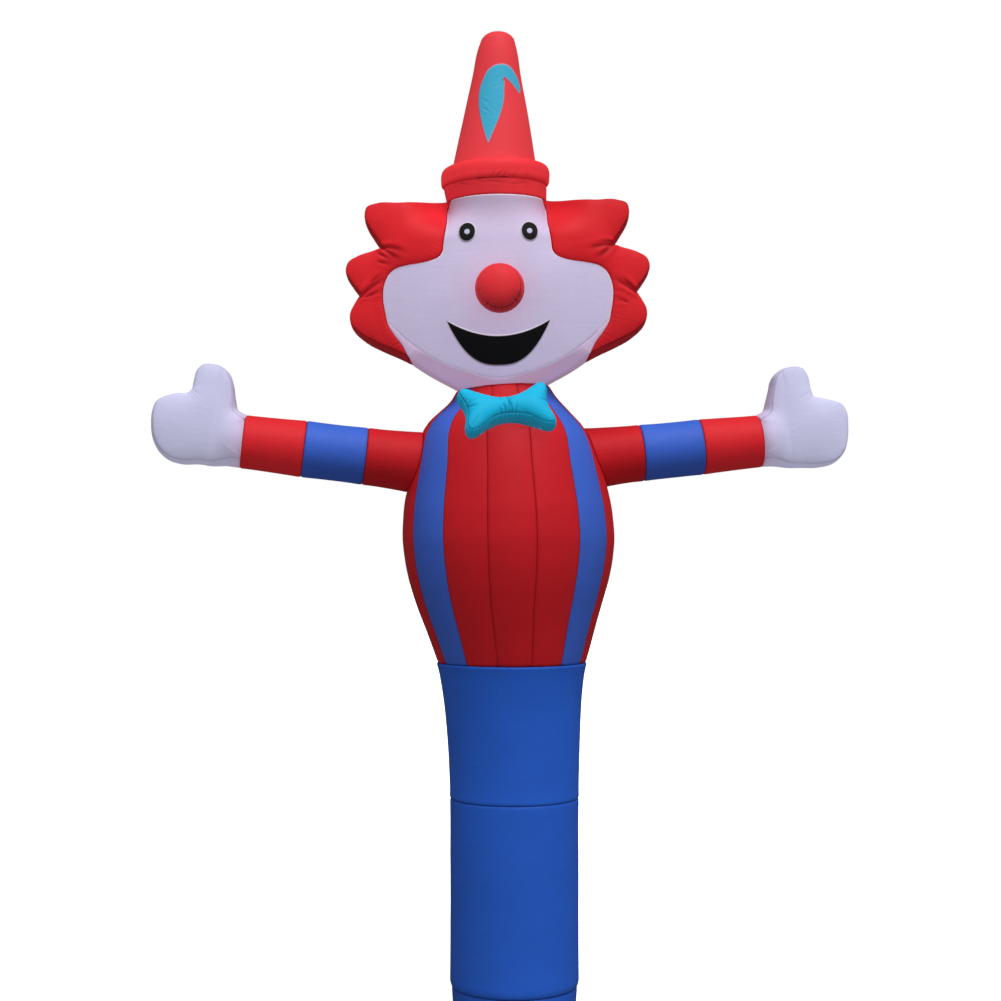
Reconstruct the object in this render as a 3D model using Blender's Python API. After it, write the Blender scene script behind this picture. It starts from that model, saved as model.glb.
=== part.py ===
"""Inflatable air dancer: a clown on one leg tube, as its blower holds it up.

The figure is sewn from thin cloth and is hollow from the collar at its foot to the tip of its hat. Every cut
piece is a sheet of its own, with the seam gap to the next one. Each is worked out as a grid of points on its
outer face and, for each point, the direction into the figure, along which the cloth has its thickness.

Units are metres. +Z is up and the figure faces -Y. The origin lies on the floor, under the middle of the
arm span; the leg stands a little to its right.
"""

import math
from collections import namedtuple

import bpy
import numpy as np
from mathutils import Matrix
from mathutils.bvhtree import BVHTree

# Cloth
CLOTH = 0.0025
PATCH = 0.0015
SEAM_GAP = 0.0003
TIP_GAP = 0.0015
TINY = 1e-6
PATCH_LIFT = 0.0006
CREASE = math.radians(40.0)
RIM_ORDER = np.array((0.31, 0.17, 1.0))

# Leg and torso: the seams, bottom to top
COLLAR_TOP = 0.141
LEG_SEAM = 0.801
WAIST = 1.2775
NECK = 2.245
NECK_RADIUS = 0.160
NECK_LEAN = 0.065
SHOULDER = 2.120

Spine = namedtuple("Spine", "height across")
SPINE = [Spine(*row) for row in (
    (0.000, 0.0300),
    (0.800, 0.0295),
    (1.280, 0.0200),
    (1.500, 0.0100),
    (1.720, 0.0080),
    (2.140, -0.0065),
    (2.245, -0.0120),
)]

Ring = namedtuple("Ring", "height radius")
LEG_RINGS = [Ring(*row) for row in (
    (0.000, 0.2050),
    (0.080, 0.2170),
    (0.137, 0.2215),
    (0.145, 0.2225),
    (0.165, 0.2270),
    (0.320, 0.2260),
    (0.650, 0.2260),
    (0.801, 0.2265),
    (0.925, 0.2300),
    (1.030, 0.2350),
    (1.122, 0.2410),
    (1.214, 0.2520),
    (1.2775, 0.2615),
)]
TORSO_RINGS = [Ring(*row) for row in (
    (1.2775, 0.2620),
    (1.390, 0.2980),
    (1.486, 0.3300),
    (1.567, 0.3535),
    (1.652, 0.3695),
    (1.719, 0.3750),
    (1.800, 0.3700),
    (1.881, 0.3570),
    (1.985, 0.3340),
    (2.060, 0.3070),
    (2.115, 0.2720),
    (2.160, 0.2290),
    (2.203, 0.1870),
    (2.245, 0.1600),
)]
LEG_HEIGHTS = {
    "base_collar": (0.0, 0.080, COLLAR_TOP),
    "leg_lower": (COLLAR_TOP, 0.165, 0.385, 0.605, LEG_SEAM),
    "leg_upper": (LEG_SEAM, 0.925, 1.040, 1.160, WAIST),
}
LEG_SIDES = 30

# Torso gores
GORES = 14
BRACES = (2, 5, 9, 12)
GORE_CELLS = 3
GORE_VALLEY = 0.012
YAW = math.radians(2.0)

# Arms: from the wrist back to the torso
Arm = namedtuple("Arm", "side outward wrist forward rise")
ARMS = (
    Arm("left", -1, (-0.912, -0.112, 2.0485), 7.0, 6.5),
    Arm("right", 1, (0.902, 0.055, 2.0600), -3.5, 5.9),
)
Sleeve = namedtuple("Sleeve", "back radius")
SLEEVE = [Sleeve(*row) for row in (
    (0.000, 0.0910),
    (0.212, 0.0970),
    (0.425, 0.0985),
    (0.600, 0.1050),
    (0.900, 0.1090),
)]
BANDS = (("outer_band", "red", 0.0, 0.212), ("middle_band", "blue", 0.212, 0.425))
ARM_SIDES = 20
ARM_CELLS = 3
ARM_INSIDE = 0.80
ARM_CLEARANCE = 0.0007

# Hands: a mitten, thumb up, seen along its gusset. Angles turn from the wrist, over the thumb
HAND_HUB = (0.110, 0.020)
Mitten = namedtuple("Mitten", "angle left right")
MITTEN = [Mitten(*row) for row in (
    (32, 0.133, 0.135),
    (46, 0.120, 0.121),
    (60, 0.141, 0.138),
    (72, 0.183, 0.169),
    (80, 0.214, 0.206),
    (88, 0.229, 0.225),
    (96, 0.235, 0.233),
    (104, 0.234, 0.236),
    (109, 0.222, 0.229),
    (115, 0.190, 0.206),
    (122, 0.160, 0.172),
    (129, 0.156, 0.152),
    (139, 0.178, 0.166),
    (149, 0.199, 0.189),
    (158, 0.214, 0.211),
    (167, 0.213, 0.215),
    (180, 0.206, 0.209),
    (194, 0.200, 0.207),
    (207, 0.191, 0.206),
    (220, 0.175, 0.194),
    (235, 0.148, 0.164),
    (255, 0.119, 0.134),
    (280, 0.118, 0.126),
    (300, 0.128, 0.133),
    (314, 0.154, 0.154),
)]
HAND_EDGE = 0.056
HAND_INSET = 0.010
HAND_ROLL = math.radians(5.0)
HAND_MIDDLE = 0.084
HAND_CROWN = 2.4

# Head: polar about its middle, in its own plane, which leans a little. Its half depth is a low dome over the
# whole front and back, which the hat's ring draws in at the top
HEAD_MIDDLE = (-0.028, 0.0, 2.590)
HEAD_LEAN = math.radians(0.9)
HEAD_DEPTH = 0.218
HEAD_EDGE = 0.150
HEAD_SPAN = (0.44, 0.42)
HEAD_CROWN = 1.3
HEAD_SHOULDER = 0.170
HEAD_STRIDE = 0.002
HEAD_STEPS = (0, 0.40, 0.74, 1.0)
HAIR_STEPS = (0, 0.35, 0.70, 1.0)
HAT_RING_UP = 0.305
HAT_RING_RADIUS = 0.175
HAT_CORNER = 0.1685
HAIR_AT_RING = 0.160
HAIR_SWELL = 0.160
GUSSET_BULGE = 0.0065
RING_ANGLES = (90.0, 99.0, 107.0, 113.5)
FUNNEL_SEAM = 65.0
FUNNEL_FRONT = 6
FUNNEL_CELLS = 3
FUNNEL_SWELL = 0.045

# One row for each cut through a side's hair: its rim, and its seam to the face
Hair = namedtuple("Hair", "angle rim seam")
HAIR = [Hair(*row) for row in (
    (118.9, 0.3485, 0.3440),
    (122.0, 0.343, 0.322),
    (130.0, 0.368, 0.272),
    (139.5, 0.434, 0.239),
    (145.5, 0.498, 0.225),
    (149.0, 0.518, 0.218),
    (152.0, 0.513, 0.216),
    (156.0, 0.468, 0.220),
    (161.0, 0.412, 0.240),
    (164.5, 0.447, 0.268),
    (168.0, 0.493, 0.315),
    (171.0, 0.521, 0.354),
    (174.0, 0.526, 0.374),
    (178.0, 0.505, 0.387),
    (183.0, 0.471, 0.396),
    (187.0, 0.498, 0.399),
    (190.5, 0.519, 0.400),
    (194.0, 0.524, 0.401),
    (198.9, 0.502, 0.4035),
    (205.0, 0.461, 0.398),
    (212.0, 0.420, 0.391),
    (218.0, 0.397, 0.397),
)]
CHIN_ROWS = 19
CHIN_TURN = 8
Chin = namedtuple("Chin", "angle reach")
CHIN = [Chin(*row) for row in (
    (198.9, 0.4035),
    (212.0, 0.3680),
    (224.0, 0.3470),
    (237.0, 0.3334),
    (248.0, 0.3244),
    (259.0, 0.3242),
    (270.0, 0.3270),
)]
NAPE = [Chin(*row) for row in (
    (218.0, 0.397),
    (226.0, 0.365),
    (237.0, 0.343),
    (248.0, 0.329),
    (259.0, 0.326),
    (270.0, 0.327),
)]

# Face, in the head's plane from its middle
EYES = {"left": (-0.1025, 0.1705), "right": (0.1105, 0.1705)}
EYE_SIZE = (0.0290, 0.0345)
PUPIL_RADIUS = 0.0095
MOUTH_HALF_WIDTH = 0.176
MOUTH_TIP = -0.129
MOUTH_TOP = -0.184
MOUTH_BOTTOM = -0.284
MOUTH_END = 0.985
MOUTH_FULL = 2.4
NOSE_MIDDLE = (0.0056, -0.0293)
NOSE_RIM = 0.076
NOSE_SEAM = 0.073
Nose = namedtuple("Nose", "out radius")
NOSE_SIDE = [Nose(*row) for row in (
    (0.000, 0.0760),
    (0.018, 0.0825),
    (0.040, 0.0835),
    (0.062, 0.0790),
    (0.075, 0.0730),
)]
NOSE_FRONT = [Nose(*row) for row in (
    (0.112, 0.000),
    (0.109, 0.026),
    (0.099, 0.052),
    (0.088, 0.066),
    (0.075, 0.073),
)]
NOSE_SIDES = 20

# Hat: rings with their middle, radius and lean
Hoop = namedtuple("Hoop", "height across radius lean")
HAT_BAND = [Hoop(*row) for row in (
    (2.895, -0.0328, 0.1750, 0.9),
    (2.951, -0.0385, 0.1820, 1.5),
)]
HAT_ROLL = [Hoop(*row) for row in (
    (2.951, -0.0385, 0.1820, 1.5),
    (2.966, -0.0380, 0.1895, 2.0),
    (2.990, -0.0380, 0.1910, 2.4),
    (3.009, -0.0390, 0.1820, 2.6),
    (3.019, -0.0405, 0.1660, 2.6),
    (3.018, -0.0415, 0.1480, 2.6),
)]
HAT_CONE = [Hoop(*row) for row in (
    (3.018, -0.0415, 0.1480, 2.6),
    (3.196, -0.0360, 0.1150, 1.0),
    (3.340, -0.0325, 0.0860, 0.0),
    (3.450, -0.0300, 0.0650, 0.0),
    (3.478, -0.0285, 0.0545, 0.0),
    (3.494, -0.0280, 0.0340, 0.0),
    (3.499, -0.0270, 0.0000, 0.0),
)]
HAT_SIDES = 24

# The feather patch on the hat: its spine runs up from the tip and hooks over to the right
Feather = namedtuple("Feather", "across height half_width")
FEATHER = [Feather(*row) for row in (
    (-0.062, 3.088, 0.002),
    (-0.060, 3.130, 0.018),
    (-0.056, 3.180, 0.034),
    (-0.052, 3.232, 0.043),
    (-0.046, 3.284, 0.040),
    (-0.030, 3.324, 0.030),
    (-0.002, 3.332, 0.023),
    (0.022, 3.310, 0.016),
    (0.038, 3.282, 0.009),
    (0.045, 3.262, 0.002),
)]
FEATHER_CELLS = 5

# Bow tie: a boxed pillow shaped like a bone; its outline's first quarter, then mirrored
BOW_MIDDLE = (0.0005, 0.0, 2.142)
BOW_ROLL = math.radians(7.5)
BOW_YAW = math.radians(8.0)
BOW_PITCH = math.radians(36.0)
BOW_EDGE = 0.034
BOW_FRONT = 0.052
BOW_BULGE = 0.006
BOW_CROWN = 2.0
BOW_CLEARANCE = 0.0005
Bone = namedtuple("Bone", "along up")
BONE = [Bone(*row) for row in (
    (0.136, 0.000),
    (0.139, 0.030),
    (0.147, 0.056),
    (0.149, 0.073),
    (0.142, 0.086),
    (0.122, 0.084),
    (0.094, 0.065),
    (0.062, 0.046),
    (0.030, 0.036),
    (0.000, 0.033),
)]

# Finishes
Finish = namedtuple("Finish", "colour roughness")
FINISHES = {
    "red": Finish((0.640, 0.030, 0.045), 0.55),
    "blue": Finish((0.040, 0.110, 0.480), 0.55),
    "white": Finish((0.720, 0.700, 0.800), 0.60),
    "cyan": Finish((0.040, 0.480, 0.720), 0.55),
    "teal": Finish((0.060, 0.420, 0.580), 0.60),
    "black": Finish((0.012, 0.012, 0.013), 0.60),
}


def read(table, key, value, at):
    """Reads a table's column between its rows, on a cubic that never overshoots them."""
    x = np.array([getattr(row, key) for row in table], float)
    y = np.array([getattr(row, value) for row in table], float)
    slope = np.diff(y) / np.diff(x)
    tangent = np.concatenate(([slope[0]], np.zeros(len(x) - 2), [slope[-1]]))
    before, after = slope[:-1], slope[1:]
    rising = before * after > 0
    tangent[1:-1][rising] = 2 * before[rising] * after[rising] / (before[rising] + after[rising])
    at = np.asarray(at, float)
    i = np.clip(np.searchsorted(x, at, side="right") - 1, 0, len(x) - 2)
    step = x[i + 1] - x[i]
    t = (at - x[i]) / step
    return (
        (1 + 2 * t) * (1 - t) ** 2 * y[i]
        + t * (1 - t) ** 2 * step * tangent[i]
        + t * t * (3 - 2 * t) * y[i + 1]
        - t * t * (1 - t) * step * tangent[i + 1]
    )


def column(table, name):
    """One column of a table, as an array."""
    return np.array([getattr(row, name) for row in table], float)


def unit(vectors):
    """The same directions, one unit long; those without a length stay as they are."""
    length = np.linalg.norm(vectors, axis=-1, keepdims=True)
    return vectors / np.where(length > 0, length, 1)


def dot(a, b):
    """Dot products, kept as a last axis of one."""
    return (a * b).sum(-1, keepdims=True)


def turn(start, end, count):
    """Evenly spaced angles in radians, from degrees."""
    return np.radians(np.linspace(start, end, count))


# ---------------------------------------------------------------- sheets


def set_back(outer, inward, axis, ring):
    """Half a seam gap at both edges that cross an axis of the grid, square to the seam's mitre."""
    shift = np.zeros_like(outer)
    along = np.gradient(outer, axis=1 - axis)
    if ring and axis == 1:
        along = np.roll(outer, -1, axis=0) - np.roll(outer, 1, axis=0)
    for edge, inside in ((0, 1), (-1, -2)):
        place = (edge, slice(None)) if axis == 0 else (slice(None), edge)
        nearby = (inside, slice(None)) if axis == 0 else (slice(None), inside)
        mitre = inward[place]
        seam = unit(along[place] - dot(along[place], mitre) * mitre)
        back = outer[nearby] - outer[place]
        back = back - dot(back, mitre) * mitre - dot(back, seam) * seam
        shift[place] = unit(back) * SEAM_GAP / 2
    return shift


def sheet(name, outer, inward, finish, ring=False, hub=False, tips=(), thickness=CLOTH, edges=True):
    """Makes one closed piece of cloth from the grid of its outer face.

    A ring closes on itself along the first axis. A hub's first column is a single point, and so is each row
    that ends in a tip: the first (0) or the last (-1). Edges without a seam keep their place.
    """
    outer, inward = np.array(outer, float), unit(np.array(inward, float))
    shift = np.zeros_like(outer)
    if edges:
        across = set_back(outer, inward, 1, ring)
        if hub:
            across[:, 0] = 0
        if not ring:
            across += set_back(outer, inward, 0, ring)
        for tip in tips:
            across[tip] = unit(outer[1 if tip == 0 else -2].mean(axis=0) - outer[tip, 0]) * TIP_GAP
        shift += across
    faces = [outer + shift, outer + shift + inward * thickness]
    rows, columns = outer.shape[:2]
    index = np.arange(rows * columns).reshape(rows, columns)
    if hub:
        index[:, 0] = index[0, 0]
    for tip in tips:
        index[tip] = index[tip, 0]
    if ring:
        index = np.concatenate([index, index[:1]])
    below = index + rows * columns
    points = np.concatenate([face.reshape(-1, 3) for face in faces])
    top = triangles(index, points)
    bottom = [[corner + rows * columns for corner in face[::-1]] for face in top]
    rims = rim(index[:, -1], below[:, -1], points)
    if not hub:
        rims += rim(index[::-1, 0], below[::-1, 0], points)
    if not ring and 0 not in tips:
        rims += rim(index[0, :], below[0, :], points)
    if not ring and -1 not in tips:
        rims += rim(index[-1, ::-1], below[-1, ::-1], points)
    centre = (rows // 2, columns // 2)
    facing = np.cross(np.gradient(outer, axis=0)[centre], np.gradient(outer, axis=1)[centre])
    polygons = top + bottom + rims
    if facing @ inward[centre] > 0:
        polygons = [face[::-1] for face in polygons]
    return add_mesh(name, points, polygons, finish)


def triangles(index, points):
    """A grid's faces, two triangles to a cell on its shorter diagonal; at a hub there is only one."""
    a, b, c, d = index[:-1, :-1], index[1:, :-1], index[1:, 1:], index[:-1, 1:]
    falling = np.linalg.norm(points[a] - points[c], axis=-1)
    rising = np.linalg.norm(points[b] - points[d], axis=-1)
    longer = falling > rising + TINY
    first = np.stack([a, b, np.where(longer, d, c)], axis=-1).reshape(-1, 3)
    second = np.stack([np.where(longer, b, a), c, d], axis=-1).reshape(-1, 3)
    return [face for face in first.tolist() + second.tolist() if len(set(face)) == 3]


def rim(upper, lower, points):
    """The narrow faces along one edge, between the outer and the inner face.

    Each cell's diagonal leaves the outer face at the cell's lower end, so that both sides of a seam match.
    """
    height = (np.abs(points[upper]) * [1, 0, 0] + points[upper] * [0, 1, 1]) @ RIM_ORDER
    a, b, c, d = upper[:-1], upper[1:], lower[1:], lower[:-1]
    rising = height[:-1] < height[1:]
    first = np.stack([a, b, np.where(rising, c, d)], axis=-1)
    second = np.stack([np.where(rising, a, b), c, d], axis=-1)
    return first.tolist() + second.tolist()


def add_mesh(name, points, polygons, finish):
    """Puts points and faces into a named object, without the points that no face uses."""
    used = sorted({corner for face in polygons for corner in face})
    renumber = {old: new for new, old in enumerate(used)}
    mesh = bpy.data.meshes.new(name)
    mesh.from_pydata(points[used].tolist(), [], [[renumber[c] for c in face] for face in polygons])
    mesh.materials.append(material(finish))
    mesh.shade_smooth()
    mesh.set_sharp_from_angle(angle=CREASE)
    made = bpy.data.objects.new(name, mesh)
    bpy.context.scene.collection.objects.link(made)
    return made


def material(finish):
    """The shared material of a finish."""
    name = finish + "_cloth"
    made = bpy.data.materials.get(name)
    if made is None:
        made = bpy.data.materials.new(name)
        made.use_nodes = True
        shader = made.node_tree.nodes["Principled BSDF"]
        shader.inputs["Base Color"].default_value = (*FINISHES[finish].colour, 1)
        shader.inputs["Roughness"].default_value = FINISHES[finish].roughness
    return made


# ---------------------------------------------------------------- leg and torso


def spine(height):
    """How far right of the origin the body's axis is at a height."""
    return read(SPINE, "height", "across", height)


def round_grid(radius, height, angle):
    """Points round the body's axis, and the directions to that axis; angle 0 faces the front."""
    radius, height, angle = np.broadcast_arrays(radius, height, angle)
    inward = np.stack([-np.sin(angle), np.cos(angle), np.zeros_like(angle)], axis=-1)
    axis = np.stack([spine(height), np.zeros_like(height), height], axis=-1)
    return axis - inward * radius[..., None], inward


def leg():
    """The collar that slips over the blower's outlet, and the two lengths of the leg tube."""
    angle = turn(0, 360, LEG_SIDES + 1)[:-1, None]
    for name, heights in LEG_HEIGHTS.items():
        height = np.array(heights)[None, :]
        outer, inward = round_grid(read(LEG_RINGS, "height", "radius", height), height, angle)
        made = sheet(name, outer, inward, "blue", ring=True)
        if name == "base_collar":
            for point in made.data.vertices:
                if point.co.z < SEAM_GAP:
                    point.co.z = 0


def neck_rise(across, height):
    """How much higher the torso's cloth lies right of its axis, eased in from the shoulders to the neck."""
    return NECK_LEAN * across * eased((height - SHOULDER) / (NECK - SHOULDER))


def eased(share):
    """A share from 0 to 1, with level ends."""
    share = np.clip(share, 0, 1)
    return share * share * (3 - 2 * share)


def clear_of_torso(points):
    """How far points lie outside the torso's cloth, level with its axis."""
    across = points[..., 0] - spine(points[..., 2])
    height = np.minimum(points[..., 2] - neck_rise(across, points[..., 2]), NECK)
    return np.hypot(across, points[..., 1]) - torso_radius(height, np.arctan2(across, -points[..., 1]))


def torso_radius(height, angle):
    """The torso's radius: round, with a shallow valley at each gore's seams."""
    across = (angle - YAW) / (2 * math.pi / GORES)
    from_middle = 2 * (across - np.round(across))
    return read(TORSO_RINGS, "height", "radius", height) * (1 - GORE_VALLEY * from_middle**2)


def torso():
    """The gores, with the arms' holes cut out of the ones at the sides."""
    height = column(TORSO_RINGS, "height")[None, :]
    holes = [armhole(arm) for arm in ARMS]
    for number in range(GORES):
        edges = (number - 0.5, number + 0.5)
        angle = turn(*(edge * 360 / GORES for edge in edges), GORE_CELLS + 1)[:, None] + YAW
        inside = np.clip(angle, angle[0] + TINY, angle[-1] - TINY)
        outer, inward = round_grid(torso_radius(height, inside), height, angle)
        outer[..., 2] += neck_rise(outer[..., 0] - spine(height), height)
        inward = inward + slope(height)[..., None] * np.array([0, 0, 1.0])
        finish = "blue" if number in BRACES else "red"
        gore = sheet(f"torso_gore_{number + 1:02d}", outer, inward, finish)
        for hole in holes:
            if near(gore, hole):
                cut = gore.modifiers.new("armhole", "BOOLEAN")
                cut.object = hole
                cut.operation = "DIFFERENCE"


def slope(height):
    """How steeply the cloth leans inwards, eased to nothing at the waist and the neck."""
    rise = np.gradient(read(TORSO_RINGS, "height", "radius", height[0]), height[0])
    ends = np.minimum(height[0] - WAIST, NECK - height[0]) > SEAM_GAP
    return np.where(ends, np.clip(rise, -1.2, 1.2), 0)[None, :]


def near(gore, hole):
    """Whether a gore's box and a cutter's box overlap."""
    boxes = []
    for item in (gore, hole):
        points = np.array([point.co for point in item.data.vertices])
        boxes.append((points.min(axis=0), points.max(axis=0)))
    (low, high), (hole_low, hole_high) = boxes
    return bool((low < hole_high).all() and (hole_low < high).all())


# ---------------------------------------------------------------- arms


def arm_axes(arm):
    """An arm's directions: outwards along it, up across it, and across it to the front."""
    forward, rise = math.radians(arm.forward), math.radians(arm.rise)
    out = np.array([
        arm.outward * math.cos(forward) * math.cos(rise), -math.sin(forward) * math.cos(rise), math.sin(rise)
    ])
    front = unit(np.cross(out, (0, 0, 1)))
    front = front if front[1] < 0 else -front
    up = unit(np.cross(out, front))
    return out, up if up[2] > 0 else -up, front


def sleeve_grid(arm, back, angle, depth=0.0):
    """Points on an arm's tube at a distance back from the wrist, and the directions to its axis."""
    out, up, front = arm_axes(arm)
    back, angle = np.broadcast_arrays(back, angle)
    inward = -(np.cos(angle)[..., None] * front + np.sin(angle)[..., None] * up)
    radius = read(SLEEVE, "back", "radius", back) - depth
    return np.array(arm.wrist) - back[..., None] * out - radius[..., None] * inward, inward


def meets_torso(arm, angle, depth):
    """How far back each line of the sleeve's tube, at a depth in its cloth, runs before the torso."""
    clear, inside = np.full(angle.shape, 0.3), np.full(angle.shape, ARM_INSIDE)
    for _ in range(40):
        middle = (clear + inside) / 2
        outside = clear_of_torso(sleeve_grid(arm, middle, angle, depth)[0]) > 0
        clear, inside = np.where(outside, middle, clear), np.where(outside, inside, middle)
    return clear


def arms():
    """Each arm's three bands; the inner one ends on the torso."""
    angle = turn(0, 360, ARM_SIDES + 1)[:-1, None]
    for arm in ARMS:
        for name, finish, near_wrist, far in BANDS:
            back = np.linspace(near_wrist, far, ARM_CELLS)[None, :]
            outer, inward = sleeve_grid(arm, back, angle)
            sheet(f"arm_{arm.side}_{name}", outer, inward, finish, ring=True)
        start, end = BANDS[-1][3], meets_torso(arm, angle, 0.0) - ARM_CLEARANCE
        within = meets_torso(arm, angle, CLOTH) - ARM_CLEARANCE
        back = start + (end - start) * np.linspace(0, 1, ARM_CELLS)[None, :]
        outer, inward = sleeve_grid(arm, back, angle)
        inward[:, -1] += (end - within) / CLOTH * arm_axes(arm)[0]
        sheet(f"arm_{arm.side}_inner_band", outer, inward, "red", ring=True)


def armhole(arm):
    """The cutter of an arm's hole: a rod as wide as the inside of the sleeve."""
    angle = turn(0, 360, ARM_SIDES + 1)[:-1, None]
    ends, _ = sleeve_grid(arm, np.array([[0.45, ARM_INSIDE]]), angle, CLOTH)
    sides = ARM_SIDES
    polygons = [[i, (i + 1) % sides, sides + (i + 1) % sides, sides + i] for i in range(sides)]
    polygons += [list(range(sides))[::-1], list(range(sides, 2 * sides))]
    points = np.concatenate([ends[:, 0], ends[:, 1]])
    if arm.outward < 0:
        polygons = [face[::-1] for face in polygons]
    cutter = add_mesh(f"cut_arm_{arm.side}", points, polygons, "red")
    cutter.hide_render = True
    cutter.display_type = "WIRE"
    return cutter


# ---------------------------------------------------------------- boxed forms


def outward_normals(line, ring):
    """The normals of a flat outline that turns anticlockwise, seen with its first axis to the right."""
    run = np.roll(line, -1, axis=0) - np.roll(line, 1, axis=0) if ring else np.gradient(line, axis=0)
    return unit(np.stack([run[:, 1], -run[:, 0]], axis=-1))


def crowned(edge, edge_depth, middle_depth, crown, steps):
    """A panel's points over its hub: the outline drawn in by steps, and its depth falling to the edge's."""
    flat = edge[:, None, :] * steps[None, :, None]
    depth = middle_depth - (middle_depth - edge_depth[:, None]) * steps[None, :] ** crown
    return flat, depth


# ---------------------------------------------------------------- hands


def hand_edges(side):
    """A mitten's seam line, its half depth and its normals, from the wrist's top round to its bottom."""
    angle = np.radians(column(MITTEN, "angle"))
    reach = column(MITTEN, side)
    outline = np.stack([-np.cos(angle) * reach, np.sin(angle) * reach], axis=-1)
    normals = outward_normals(outline, ring=False)
    if (normals * outline).sum() < 0:
        normals = -normals
    wrist_radius = SLEEVE[0].radius
    corner = wrist_radius * math.sqrt(0.5)
    normals[0], normals[-1] = (0, 1), (0, -1)
    inset = np.full(len(angle), HAND_INSET)
    depth = np.full(len(angle), HAND_EDGE)
    inset[[0, -1]] = wrist_radius - corner
    inset[[1, -2]] = (wrist_radius - corner + HAND_INSET) / 2
    depth[[0, -1]] = corner
    depth[[1, -2]] = (corner + HAND_EDGE) / 2
    outline[0] = (-HAND_HUB[0], wrist_radius - HAND_HUB[1])
    outline[-1] = (-HAND_HUB[0], -wrist_radius - HAND_HUB[1])
    return outline - normals * inset[:, None], inset, depth, normals


def hand_axes(arm):
    """An arm's directions, rolled about the arm so that the hand's front looks a little up."""
    out, up, front = arm_axes(arm)
    cosine, sine = math.cos(HAND_ROLL), math.sin(HAND_ROLL)
    return out, up * cosine - front * sine, front * cosine + up * sine


def hands():
    """Each mitten: a front and a back panel, and the gusset that parts them from wrist to wrist."""
    wrist_angle = turn(-45, 45, 7)[1:-1]
    across, up_wrist = np.zeros(5), np.sin(wrist_angle) * SLEEVE[0].radius
    wrist = np.stack([across - HAND_HUB[0], up_wrist - HAND_HUB[1]], axis=-1)
    steps = np.array([0, 0.5, 0.82, 1.0])
    ease = steps[None, :, None] ** 2
    for arm in ARMS:
        seam, inset, depth, normals = hand_edges(arm.side)
        border = np.concatenate([seam, wrist])
        border_depth = np.concatenate([depth, SLEEVE[0].radius * np.cos(wrist_angle)])
        flat, thick = crowned(border, border_depth, HAND_MIDDLE, HAND_CROWN, steps)
        round_in = np.concatenate([normals, np.stack([across, np.tan(wrist_angle)], axis=-1)])
        out, up, front = hand_axes(arm)
        hub = np.array(arm.wrist) + HAND_HUB[0] * out + HAND_HUB[1] * up
        for side, face in ((1, "front"), (-1, "back")):
            outer = hub + flat[..., :1] * out + flat[..., 1:] * up + side * thick[..., None] * front
            lean = ease * (round_in[:, None, :1] * out + round_in[:, None, 1:] * up)
            sheet(f"hand_{arm.side}_{face}", outer, -(lean + side * front), "white", ring=True, hub=True)
        strip = np.linspace(-1, 1, 4)[None, :]
        bulge = (inset[:, None] * (np.sqrt(2 - strip**2) - 1) / (math.sqrt(2) - 1))[..., None]
        edge = seam[:, None, :] + normals[:, None, :] * bulge
        outer = hub + edge[..., :1] * out + edge[..., 1:] * up + (strip * depth[:, None])[..., None] * front
        inward = -(normals[:, None, :1] * out + normals[:, None, 1:] * up) - strip[..., None] * front
        sheet(f"hand_{arm.side}_gusset", outer, inward, "white")


# ---------------------------------------------------------------- head


def head_place(points, directions):
    """Takes points and directions from the head's plane (right, back, up) to the world."""
    lean = np.array([
        [math.cos(HEAD_LEAN), 0, -math.sin(HEAD_LEAN)],
        [0, 1, 0],
        [math.sin(HEAD_LEAN), 0, math.cos(HEAD_LEAN)],
    ])
    return np.array(HEAD_MIDDLE) + points @ lean.T, directions @ lean.T


def polar(angle, reach):
    """Flat points of the head's plane from angles in degrees and distances."""
    angle = np.radians(angle)
    return np.stack([np.cos(angle) * reach, np.sin(angle) * reach], axis=-1)


def mirrored(half):
    """A whole outline from its left half, which runs from the top's middle round to the bottom's."""
    flip = np.array([-1] + [1] * (half.shape[-1] - 1))
    return np.concatenate([half, (half * flip)[-2:0:-1]])


def halved(points):
    """The same line of points, with one more in the middle of each stretch."""
    between = (points[:-1] + points[1:]) / 2
    return np.insert(points, np.arange(1, len(points)), between, axis=0)


def head_depth(flat):
    """Half the head's depth at flat points."""
    right, up = flat[..., 0], flat[..., 1]
    dome = np.clip(1 - (right / HEAD_SPAN[0]) ** 2 - (up / HEAD_SPAN[1]) ** 2, 0, 1) ** HEAD_CROWN
    body = HEAD_EDGE + (HEAD_DEPTH - HEAD_EDGE) * dome
    corner = math.sqrt(HAT_RING_RADIUS**2 - HAT_CORNER**2)
    ring = np.sqrt(np.maximum(HAT_RING_RADIUS**2 - right**2, corner**2))
    ring = ring + (HEAD_EDGE - corner) * eased((np.abs(right) - HAT_CORNER) / HAIR_SWELL)
    return body + (ring - body) * eased((up - HEAD_SHOULDER) / (HAT_RING_UP - HEAD_SHOULDER))


def head_surface(flat):
    """Points on the front of the head over flat points, and the directions into it."""
    ahead = np.array([HEAD_STRIDE, 0]), np.array([0, HEAD_STRIDE])
    rise = [(head_depth(flat + step) - head_depth(flat - step)) / (2 * HEAD_STRIDE) for step in ahead]
    outer = np.stack([flat[..., 0], -head_depth(flat), flat[..., 1]], axis=-1)
    return outer, unit(np.stack([rise[0], np.ones_like(rise[0]), rise[1]], axis=-1))


def side_lean(normals):
    """Directions into the head at a boxed edge: half back, half square to the outline."""
    return np.stack([-normals[:, 0], np.ones(len(normals)), -normals[:, 1]], axis=-1)


def to_hat(flat):
    """Level directions from the hat's ring, at flat points, to its axis."""
    return np.stack([-flat[..., 0], head_depth(flat), np.zeros(flat.shape[:-1])], axis=-1)


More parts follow.
